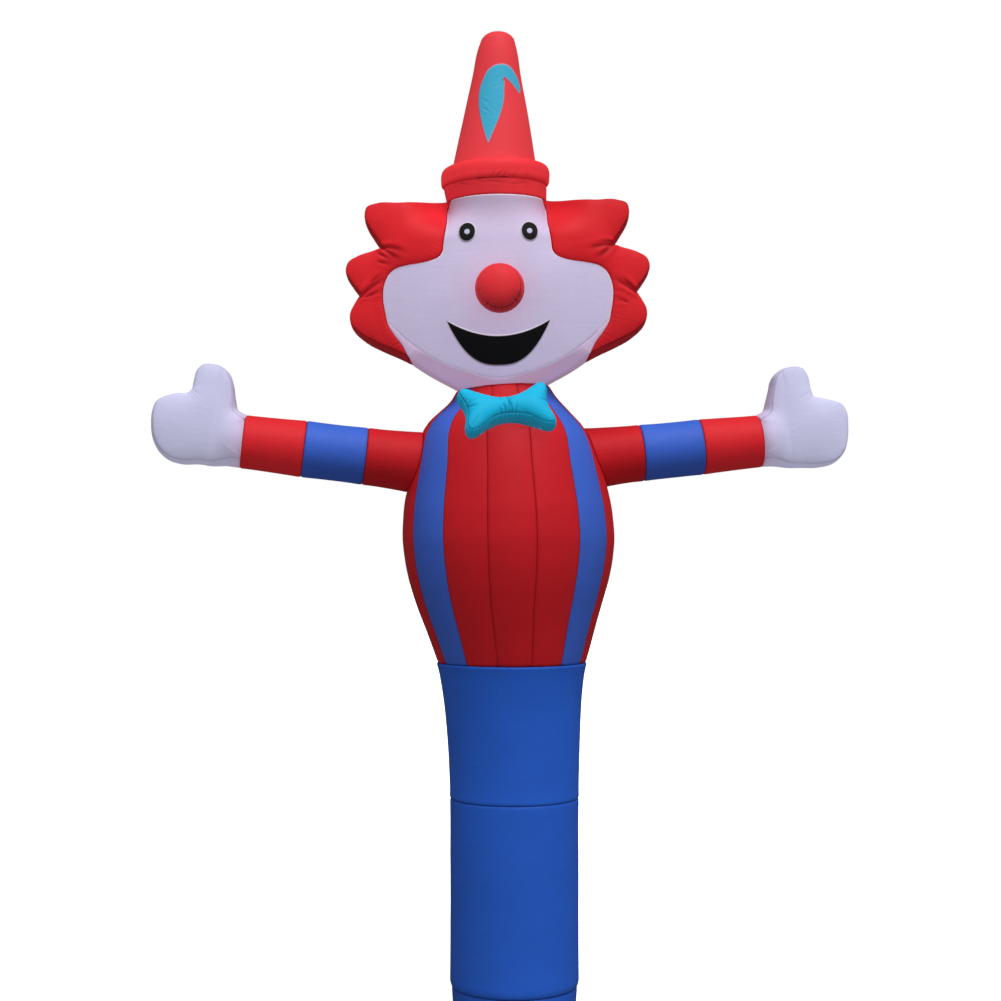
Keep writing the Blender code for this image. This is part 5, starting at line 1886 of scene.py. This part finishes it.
    def funnel(self) -> list[Cloth]:
        """Makes the two strips that draw the head in to the neck.

        Returns:
            The two pieces.
        """
        left, right = self.funnel_edges(Side.LEFT), self.funnel_edges(Side.RIGHT)
        edges = [np.concatenate([one, other[-2::-1]]) for one, other in zip(left, right)]
        share = steps(self.funnel_length, fine=0.002, coarse=0.006, ease=0.02, ends=(True, True))
        made = []
        for name, upper, lower, gather in (("chin_funnel", edges[0], edges[1], 0.0022),
                                           ("nape_funnel", edges[2], edges[3], 0.0016)):
            points = self.drawn_in(upper, lower, share)
            plane = grid(lengths(upper)[:, None], share[None, :] * self.funnel_length)
            seams = {
                Edge.FIRST: Seam(0.0012, 0.0008, 0.012, gather, 0.0115, 0.022, seed=51),
                Edge.LAST: Seam(0.0016, 0.0014, 0.012, 0.0014, 0.0125, 0.018, seed=52),
            }
            if name == "nape_funnel":
                seams |= {Edge.START: Seam(0.0008), Edge.END: Seam(0.0008)}
            below = np.array(self.form.middle) - [0, 0, 0.25]
            made.append(Cloth(name, WHITE, points, plane, below, seams=seams))
        return made

    def pieces(self) -> list[Cloth]:
        """Returns the head's pieces; the face comes first."""
        return [self.face(), *self.hair(Side.LEFT), *self.hair(Side.RIGHT), self.back(), *self.funnel()]


# ---- face


@dataclass
class Features:
    """What is sewn flat on the face: two eyes with white dots, and the smile."""

    skin: Skin
    form: HeadForm
    eye_across: tuple[float, float] = (-0.1025, 0.1105)
    eye_height: float = 0.1705
    eye_size: tuple[float, float] = (0.031, 0.0365)
    eye_tilt: float = math.radians(10.0)
    pupil: float = 0.0095
    lift: float = 0.0016
    mouth_half_width: float = 0.18
    mouth_tip: float = -0.126
    mouth_top: float = -0.182
    mouth_bottom: float = -0.286
    mouth_fullness: float = 2.6
    mouth_end: float = 0.998
    edge: Seam = Seam(0.0004)

    def laid(self, flat: Array, lift: float) -> Array:
        """Returns points a little in front of the face over flat points."""
        return self.skin.at(flat) - np.array([0, lift, 0])

    def oval(self, node: str, finish: Finish, middle: Array, size: Array, tilt: float, lift: float) -> Cloth:
        """Makes an oval patch.

        Args:
            node: The node it stands for.
            finish: Its cloth.
            middle: Its middle on the head's plane.
            size: Its half sizes.
            tilt: How far its top leans to the right.
            lift: How far it stands off the face.

        Returns:
            The piece.
        """
        angle = turns(80)
        share = np.linspace(0, 1, 9)[None, :]
        right, up = size[0] * share * np.cos(angle), size[1] * share * np.sin(angle)
        cosine, sine = math.cos(tilt), math.sin(tilt)
        flat = grid(middle[0] + right * cosine + up * sine, middle[1] - right * sine + up * cosine)
        return Cloth(node, finish, self.laid(flat, lift), flat, self.form.middle, closed=True, hub=True,
                     seams={Edge.LAST: self.edge}, slack=0.0, hold=Hold.LAID, on=["face_panel_cloth"])

    def eyes(self) -> list[Cloth]:
        """Makes the eyes and their dots.

        Returns:
            The four patches.
        """
        made = []
        for side, right in zip(Side, self.eye_across):
            middle, tilt = np.array([right, self.eye_height]), -side.value * self.eye_tilt
            dot, size = np.full(2, self.pupil), np.array(self.eye_size)
            made.append(self.oval(f"eye_{side.word}", BLACK, middle, size, tilt, self.lift))
            made.append(self.oval(f"pupil_{side.word}", WHITE, middle, dot, tilt, 2 * self.lift))
        return made

    def mouth(self) -> Cloth:
        """Makes the smile between two arcs that meet at its tips.

        Returns:
            The piece.
        """
        across = np.sin(np.linspace(-1, 1, 121) * math.pi / 2)[:, None] * self.mouth_end
        top = self.mouth_tip + (self.mouth_top - self.mouth_tip) * (1 - across**2)
        drop = 1 - np.abs(across) ** self.mouth_fullness
        bottom = self.mouth_tip + (self.mouth_bottom - self.mouth_tip) * drop
        up = top + (bottom - top) * np.linspace(0, 1, 17)[None, :]
        flat = grid(across * self.mouth_half_width, up)
        return Cloth("mouth", BLACK, self.laid(flat, self.lift), flat, self.form.middle, drawn=True,
                     seams=both_sides(self.edge), slack=0.0, hold=Hold.LAID, on=["face_panel_cloth"])

    def pieces(self) -> list[Cloth]:
        """Returns the patches."""
        return [*self.eyes(), self.mouth()]


NOSE_SIDE = rows_of(Ring, (0, 0.076), (0.018, 0.0825), (0.04, 0.0835), (0.062, 0.078), (0.075, 0.07))
NOSE_FRONT = rows_of(Ring, (0.112, 0), (0.109, 0.026), (0.1, 0.05), (0.089, 0.064), (0.075, 0.07))


@dataclass
class Nose:
    """The ball nose: a gathered front disc and the band that holds it off the face."""

    skin: Skin
    form: HeadForm
    base: float
    middle: tuple[float, float] = (0.0056, -0.0293)
    gathers: tuple[float, float] = (0.013, 0.017)
    sides: int = 168

    def rings(self, node: str, table: Sequence[Ring], hub: bool, count: int) -> Cloth:
        """Makes one of the nose's two pieces from its rings.

        Args:
            node: The node it stands for.
            table: Its rings.
            hub: Whether its first ring is a point.
            count: Its cells from the first ring to the last.

        Returns:
            The piece.
        """
        line = Line(np.array(table, float))
        out, radius = line.at(np.linspace(0, len(table) - 1, count + 1)).T[:, None]
        angle = turns(self.sides)
        flat = grid(self.middle[0] + radius * np.cos(angle), self.middle[1] + radius * np.sin(angle))
        foot = self.skin.at(flat[:, -1 if hub else 0])[:, None, 1]
        depth = self.base - out + (0 if hub else (foot - self.base) * (1 - eased(out / 0.05)))
        points = self.form.place(flat, np.broadcast_to(depth, flat.shape[:2]))
        # Towards the nose's bottom the gathers are deeper, and the seam line is painted darker and the glow
        # dimmed as painted shade.
        low = np.clip(0.45 - 0.7 * np.sin(angle - 0.35), 0.05, 1)
        seams = {Edge.LAST: Seam(0.0006, 0.0006, 0.01, self.gathers[hub], 0.013, 0.0085, seed=61, weight=low)}
        if not hub:
            seams[Edge.FIRST] = Seam(0.0, 0.0004, 0.008, 0.001, 0.012, 0.01, seed=62, weight=low)
        middle = self.form.place(np.array(self.middle), np.array(self.base - 0.05))
        return Cloth(node, RED, points, flat, middle, closed=True, hub=hub, seams=seams, slack=0.0, line=low,
                     cool=0.9 * low**2 * (radius / 0.083) ** 2)

    def pieces(self) -> list[Cloth]:
        """Returns the nose's two pieces."""
        return [self.rings("nose_side", NOSE_SIDE, False, 22), self.rings("nose_front", NOSE_FRONT, True, 26)]


# ---- hat


class Hoop(NamedTuple):
    """A ring of the hat: its middle, its radius and how far it leans, in degrees."""

    height: float
    across: float
    radius: float
    lean: float


HAT_BAND = rows_of(Hoop, (2.895, -0.0328, 0.175, 0.9), (2.951, -0.0385, 0.182, 1.5))
HAT_ROLL = rows_of(
    Hoop,
    (2.951, -0.0385, 0.182, 1.5), (2.958, -0.0382, 0.188, 1.8), (2.978, -0.038, 0.1912, 2.2),
    (3, -0.0382, 0.1902, 2.5), (3.013, -0.039, 0.184, 2.6), (3.0205, -0.04, 0.17, 2.6),
    (3.019, -0.0415, 0.148, 2.6),
)
HAT_CONE = rows_of(
    Hoop,
    (3.499, -0.027, 0, 0), (3.494, -0.028, 0.034, 0), (3.478, -0.0285, 0.0545, 0), (3.45, -0.03, 0.065, 0),
    (3.34, -0.0325, 0.086, 0), (3.196, -0.036, 0.115, 1), (3.019, -0.0415, 0.148, 2.6),
)


class Blade(NamedTuple):
    """A point of the feather's spine, from its tip, and half its width there."""

    across: float
    height: float
    half_width: float


FEATHER = rows_of(
    Blade,
    (-0.062, 3.079, 0.002), (-0.06, 3.124, 0.018), (-0.056, 3.178, 0.035), (-0.052, 3.234, 0.045),
    (-0.046, 3.29, 0.042), (-0.03, 3.332, 0.032), (-0.002, 3.341, 0.025), (0.023, 3.319, 0.018),
    (0.041, 3.289, 0.01), (0.049, 3.268, 0.002),
)
BAND_CREASES = rows_of(
    Crease,
    (-0.13, 0.046, -14, 0.07, 0.0026, 0.0019), (-0.06, 0.05, -22, 0.05, 0.0024, 0.0017),
    (-0.02, 0.044, -6, 0.09, 0.0026, 0.002), (0.06, 0.034, 8, 0.08, 0.0026, 0.0016),
    (0.1, 0.048, -30, 0.046, 0.0024, 0.0018),
)
ROLL_CREASES = rows_of(
    Crease,
    (-0.012, 0.004, 58, 0.04, 0.0026, 0.0016), (0.008, 0.004, 50, 0.044, 0.003, 0.0022),
    (0.03, 0.004, 62, 0.036, 0.0026, 0.0018), (0.066, 0.004, 52, 0.038, 0.0026, 0.0014),
    (-0.062, 0.004, 70, 0.03, 0.0026, 0.001), (-0.12, 0.004, 64, 0.034, 0.0026, 0.0012),
    (0.125, 0.004, 108, 0.032, 0.0026, 0.0012),
)
FEATHER_CREASES = rows_of(
    Crease,
    (-0.085, 3.24, -38, 0.05, 0.003, 0.0014), (-0.08, 3.205, -34, 0.045, 0.0028, 0.0012),
    (-0.02, 3.29, 205, 0.045, 0.003, 0.0012), (-0.035, 3.19, 140, 0.035, 0.0026, 0.001),
)


@dataclass
class Hat:
    """The band on the head, the padded roll of the brim, the cone, and the feather on it."""

    sides: int = 208
    cone_sides: int = 144
    feather_lift: float = 0.0018

    def hoops(self, hoop: Array, angle: Array) -> Array:
        """Returns points round leaning hoops; the angle starts at the front.

        Args:
            hoop: The hoops' numbers, one row each: height, across, radius and lean.
            angle: The angles.

        Returns:
            The points, angles x hoops x 3.
        """
        height, across, radius, lean = hoop.T
        lean = np.radians(lean)
        sideways, forward = np.sin(angle) * radius, np.cos(angle) * radius
        return grid(across + sideways * np.cos(lean), -forward, height + sideways * np.sin(lean))

    def part(
        self, node: str, table: Sequence[Hoop], share: Array, seams: dict[Edge, Seam],
        creases: Sequence[Crease] = (), hub: bool = False, sides: int = 0,
    ) -> Cloth:
        """Makes one round piece of the hat.

        Args:
            node: The node it stands for.
            table: Its hoops.
            share: Places from 0 to 1 between its first hoop and its last, by length.
            seams: How it is sewn.
            creases: Its folds, by the run round the hat and the distance from its first edge.
            hub: Whether its first hoop is a point.
            sides: Its cells round, if not the hat's usual number.

        Returns:
            The piece.
        """
        line = Line(np.array(table, float) * [1, 1, 1, 0.001])
        fine = np.linspace(0, len(table) - 1, 400)
        along = lengths(line.at(fine)[:, [0, 2]])
        hoop = line.at(np.interp(share * along[-1], along, fine)) * [1, 1, 1, 1000]
        angle = turns(sides or self.sides, -180)
        plane = grid(angle * hoop[:, 2].max(), share * along[-1])
        if hub:
            reach = share * along[-1]
            plane = grid(np.sin(angle) * reach, -np.cos(angle) * reach)
        middle = np.array([hoop[:, 1].mean(), 0, hoop[:, 0].mean()])
        return Cloth(node, RED, self.hoops(hoop, angle), plane, middle, closed=True, hub=hub, seams=seams,
                     creases=creases)

    def pieces(self) -> list[Cloth]:
        """Sews the hat.

        Returns:
            Its pieces, from the head up.
        """
        low = Seam(0.0016, 0.001, 0.01, 0.001, 0.012, 0.014, seed=71)
        under_roll = Seam(0.0026, 0.0, 0.01, 0.0015, 0.0105, 0.016, seed=72)
        cone_foot = Seam(0.0, 0.001, 0.014, 0.0008, 0.014, 0.016, seed=74)
        band = steps(0.057, fine=0.0016, coarse=0.005, ease=0.02, ends=(True, True))
        roll = steps(0.11, fine=0.0016, coarse=0.0045, ease=0.02, ends=(True, True))
        cone = steps(0.55, fine=0.0018, coarse=0.011, ease=0.03, ends=(False, True))
        roll_seams = {Edge.FIRST: replace(under_roll, lip=0.0015, seed=73), Edge.LAST: cone_foot}
        return [
            self.part("hat_band", HAT_BAND, band, {Edge.FIRST: low, Edge.LAST: under_roll}, BAND_CREASES),
            self.part("hat_roll", HAT_ROLL, roll, roll_seams, ROLL_CREASES),
            self.part("hat_cone", HAT_CONE, cone, {Edge.LAST: replace(cone_foot, seed=75)}, hub=True,
                      sides=self.cone_sides),
            self.feather(),
        ]

    def on_cone(self, across: Array, height: Array) -> Array:
        """Lays points on the cone's front, each on the hoop that leans to its height there.

        Args:
            across: Their places across.
            height: Their heights.

        Returns:
            The points.
        """
        rows = HAT_CONE[:0:-1]
        radius, middle, lean = (Profile(rows, "height", name) for name in ("radius", "across", "lean"))
        hoop = height
        for _ in range(3):
            hoop = height - (across - middle(hoop)) * np.tan(np.radians(lean(hoop)))
        forward = np.sqrt(np.maximum(radius(hoop) ** 2 - (across - middle(hoop)) ** 2, 0))
        return grid(across, -forward - self.feather_lift, height)

    def feather(self) -> Cloth:
        """Makes the feather: a blade laid along its spine, pointed at both ends.

        Returns:
            The piece.
        """
        line = Line(np.array(FEATHER, float))
        blade = line.at(line.places(0.0032))
        run = unit(np.gradient(blade[:, :2], axis=0))
        side = grid(-run[:, 1], run[:, 0])
        share = np.linspace(-1, 1, 17)[None, :, None]
        flat = blade[:, None, :2] + side[:, None] * np.maximum(blade[:, 2], 0.0005)[:, None, None] * share
        edge = Seam(0.0006, 0.0, 0.006, 0.0016, 0.009, 0.018, seed=76)
        return Cloth("hat_feather", TEAL, self.on_cone(flat[..., 0], flat[..., 1]), flat,
                     np.array([-0.036, 0, 3.2]), drawn=True, seams=both_sides(edge),
                     creases=FEATHER_CREASES, slack=0.0, hold=Hold.LAID, on=["hat_cone_cloth"])


# ---- bow tie


class Bone(NamedTuple):
    """A point of the first quarter of the bow's outline."""

    along: float
    up: float


BONE = rows_of(
    Bone,
    (0.136, 0), (0.139, 0.03), (0.147, 0.056), (0.149, 0.073), (0.142, 0.086), (0.122, 0.084),
    (0.094, 0.065), (0.062, 0.046), (0.03, 0.036), (0, 0.033),
)
BOW_CREASES = {
    1: rows_of(
        Crease,
        (-0.012, -0.036, 100, 0.05, 0.0028, 0.0042), (0, -0.036, 82, 0.062, 0.0028, 0.0055),
        (0.01, -0.036, 96, 0.055, 0.0026, 0.0045), (0.022, -0.037, 78, 0.04, 0.0026, 0.0034),
        (-0.026, -0.038, 112, 0.034, 0.0026, 0.0028), (0.004, 0.036, -92, 0.05, 0.0028, 0.0036),
        (0.014, 0.036, -80, 0.038, 0.0028, 0.0026), (-0.016, 0.036, -104, 0.036, 0.0028, 0.0022),
        (-0.14, 0, -10, 0.052, 0.004, 0.004), (-0.14, 0.006, 24, 0.046, 0.0036, 0.003),
        (0.14, -0.002, 188, 0.05, 0.004, 0.0036), (0.14, 0.006, 160, 0.04, 0.0036, 0.0024),
        (-0.136, -0.074, 48, 0.05, 0.0034, 0.0026), (-0.128, -0.08, 62, 0.046, 0.003, 0.0022),
    ),
    -1: rows_of(
        Crease,
        (0, -0.036, 88, 0.055, 0.003, 0.0045), (0.012, 0.036, -92, 0.05, 0.003, 0.004),
    ),
}


@dataclass
class BowTie:
    """A boxed pillow shaped like a bone: a front and a back panel and the gusset round them."""

    middle: Array
    roll: float = math.radians(7.5)
    yaw: float = math.radians(8.0)
    pitch: float = math.radians(36.0)
    edge: float = 0.025
    front: float = 0.056
    bulge: float = 0.006
    spacing: float = 0.004
    gusset_cells: int = 14

    @property
    def axes(self) -> Array:
        """Finds the bow's directions.

        Returns:
            Rows: along it, up across it, and out of its front.
        """
        out = np.array([math.sin(self.yaw) * math.cos(self.pitch), -math.cos(self.yaw) * math.cos(self.pitch),
                        math.sin(self.pitch)])
        level = unit(np.cross((0, 0, 1), out))
        rise = unit(np.cross(out, level))
        along = math.cos(self.roll) * level + math.sin(self.roll) * rise
        return np.array([along, math.cos(self.roll) * rise - math.sin(self.roll) * level, out])

    def outline(self) -> Array:
        """Lays the bow's seam line, smooth through the quarter and its mirror images.

        Returns:
            Its points.
        """
        quarter = np.array(BONE, float)
        half = np.concatenate([quarter, (quarter * [-1, 1])[-2::-1]])
        line = Line(np.concatenate([half, (half * [1, -1])[-2:0:-1]]), closed=True)
        return line.at(line.places(self.spacing)[:-1])

    def place(self, flat: Array, depth: Array) -> Array:
        """Returns the figure's points over flat points of the bow, at a depth to its front."""
        return laid_out(self.middle, self.axes, flat, depth)

    def pieces(self) -> list[Cloth]:
        """Sews the bow.

        Returns:
            Its front, its back and the gusset between them.
        """
        line = self.outline()
        share = steps(0.1, fine=0.0016, coarse=0.0045, ease=0.02, ends=(False, True))
        flat = line[:, None] * share[None, :, None]
        made = []
        for side, name in ((1, "front"), (-1, "back")):
            seam = Seam(0.001, 0.0008, 0.01, 0.0056, 0.0125, 0.02, seed=80 + side)
            points = self.place(flat, np.full(flat.shape[:2], side * self.edge))
            made.append(Cloth(f"bow_{name}", CYAN, points, flat, self.middle, closed=True, hub=True,
                              seams={Edge.LAST: seam}, creases=BOW_CREASES[side],
                              puff=self.front - self.edge, fullness=0.6, slack=0.0014))
        normals = outward(line, True, np.zeros(2))
        across = np.linspace(-1, 1, self.gusset_cells + 1)[None, :]
        swollen = line[:, None] + normals[:, None] * (self.bulge * (1 - across**2))[..., None]
        depth = np.broadcast_to(across * self.edge, swollen.shape[:2])
        plane = grid(lengths(line)[:, None], depth)
        edge = Seam(0.001, 0.0006, 0.01, 0.005, 0.0125, 0.018, seed=83)
        waist = np.exp(-((line[:, 0] / 0.045) ** 2))[:, None]
        ripple = 0.0034 * waist * (np.sqrt(np.abs(np.sin(line[:, :1] * math.pi / 0.019))) - 0.7)
        made.append(Cloth("bow_gusset", CYAN, self.place(swollen, depth), plane, self.middle, closed=True,
                          seams=both_sides(edge), slack=0.0005, shaped=ripple * (1 - across**4)))
        return made


# ---- studio


@dataclass
class Studio:
    """The white floor and backdrop, the even light from all sides, the soft sun and the camera."""

    camera_place: tuple[float, float, float] = (-0.01614, -5.97585, 1.708)
    lens: float = 61.14
    sensor: float = 36.0
    shift: float = 0.0395
    floor_radius: float = 60.0
    floor_glow: float = 0.78
    backdrop: float = 1.0
    above: float = 0.31
    below: float = 0.23
    glossy_share: float = 0.25
    sun: float = 2.55
    sun_size: float = 38.0
    sun_height: float = 60.0
    sun_right: float = 20.0

    def build(self) -> None:
        """Sets the studio up."""
        self.floor()
        self.dome()
        self.lamp()
        self.camera()

    def floor(self) -> None:
        """Lays a white disc: an outline at one radius round a middle point."""
        angle = turns(96)[:, 0]
        rim = grid(np.cos(angle), np.sin(angle), 0 * angle) * self.floor_radius
        mesh = bpy.data.meshes.new("studio_floor")
        mesh.from_pydata(rim.tolist(), [], [list(range(len(rim)))])
        material = bpy.data.materials.new("studio_floor")
        material.use_nodes = True
        Tree(material.node_tree).fill(
            material.node_tree.nodes["Principled BSDF"], Base_Color=(0.95, 0.95, 0.95, 1), Roughness=0.9,
            Specular_IOR_Level=0.0, Emission_Color=(1, 1, 1, 1), Emission_Strength=self.floor_glow,
        )
        mesh.materials.append(material)
        made = in_scene("studio_floor", mesh)
        made.visible_diffuse = False
        made.visible_glossy = False

    def dome(self) -> None:
        """Surrounds the figure with an even light; the camera itself sees a white backdrop."""
        world = bpy.data.worlds.new("studio_backdrop")
        bpy.context.scene.world = world
        world.use_nodes = True
        tree = Tree(world.node_tree)
        path = tree.add("LightPath").outputs
        height = tree.add("SeparateXYZ", Vector=tree.add("TexCoord").outputs["Generated"]).outputs["Z"]
        around = tree.between(height, -0.25, 0.25, self.below, self.above)
        dimmed = tree.add("MapRange", Value=path["Is Glossy Ray"], To_Min=1.0, To_Max=self.glossy_share)
        light = tree.math("MULTIPLY", around, dimmed.outputs[0])
        strength = tree.add("MapRange", Value=path["Is Camera Ray"], To_Min=light, To_Max=self.backdrop)
        tree.fill(world.node_tree.nodes["Background"], Strength=strength.outputs[0], Color=(1, 1, 1, 1))

    def lamp(self) -> None:
        """Hangs a broad sun high in front, a little to the right."""
        light = bpy.data.lights.new("studio_sun", "SUN")
        light.energy = self.sun
        light.angle = math.radians(self.sun_size)
        made = in_scene("studio_sun", light)
        made.rotation_euler = (math.radians(90 - self.sun_height), 0, math.radians(self.sun_right))

    def camera(self) -> None:
        """Places the level camera."""
        data = bpy.data.cameras.new("studio_camera")
        data.sensor_width = self.sensor
        data.lens = self.lens
        data.shift_y = self.shift
        made = in_scene("studio_camera", data)
        made.location = self.camera_place
        made.rotation_euler = (math.pi / 2, 0, 0)
        bpy.context.scene.camera = made


def middle_of(node: str) -> Array:
    """Returns the middle of a node's box."""
    low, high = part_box(node)
    return (np.array(low) + np.array(high)) / 2


def main() -> None:
    """Builds the whole figure in the studio."""
    logging.basicConfig(level=logging.INFO, format="%(message)s")
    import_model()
    Studio().build()
    shift = middle_of("base_collar") * [1, 1, 0] - np.array([LEG_AXIS, 0, 0])
    torso, head = Torso(), Head()
    arms = [
        Arm(Side.LEFT, (-0.912, -0.112, 2.0485), 7.0, 6.5),
        Arm(Side.RIGHT, (0.902, 0.055, 2.06), -3.5, 5.9),
    ]
    pieces = Leg().pieces() + torso.pieces(arms)
    for arm in arms:
        pieces += arm.pieces(torso) + Hand(arm).pieces()
    head_pieces = head.pieces()
    skin = Skin(head.face_border, head.share, head_pieces[0].finished()[0])
    nose_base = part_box("nose_front")[0][1] - shift[1] + NOSE_FRONT[0].place
    pieces += head_pieces + Features(skin, head.form).pieces()
    pieces += Nose(skin, head.form, nose_base).pieces() + Hat().pieces()
    pieces += BowTie(middle_of("bow_gusset") - shift).pieces()
    for piece in pieces:
        piece.sew(shift)
    bpy.context.scene.view_settings.view_transform = "Standard"


if __name__ == "__main__":
    main()
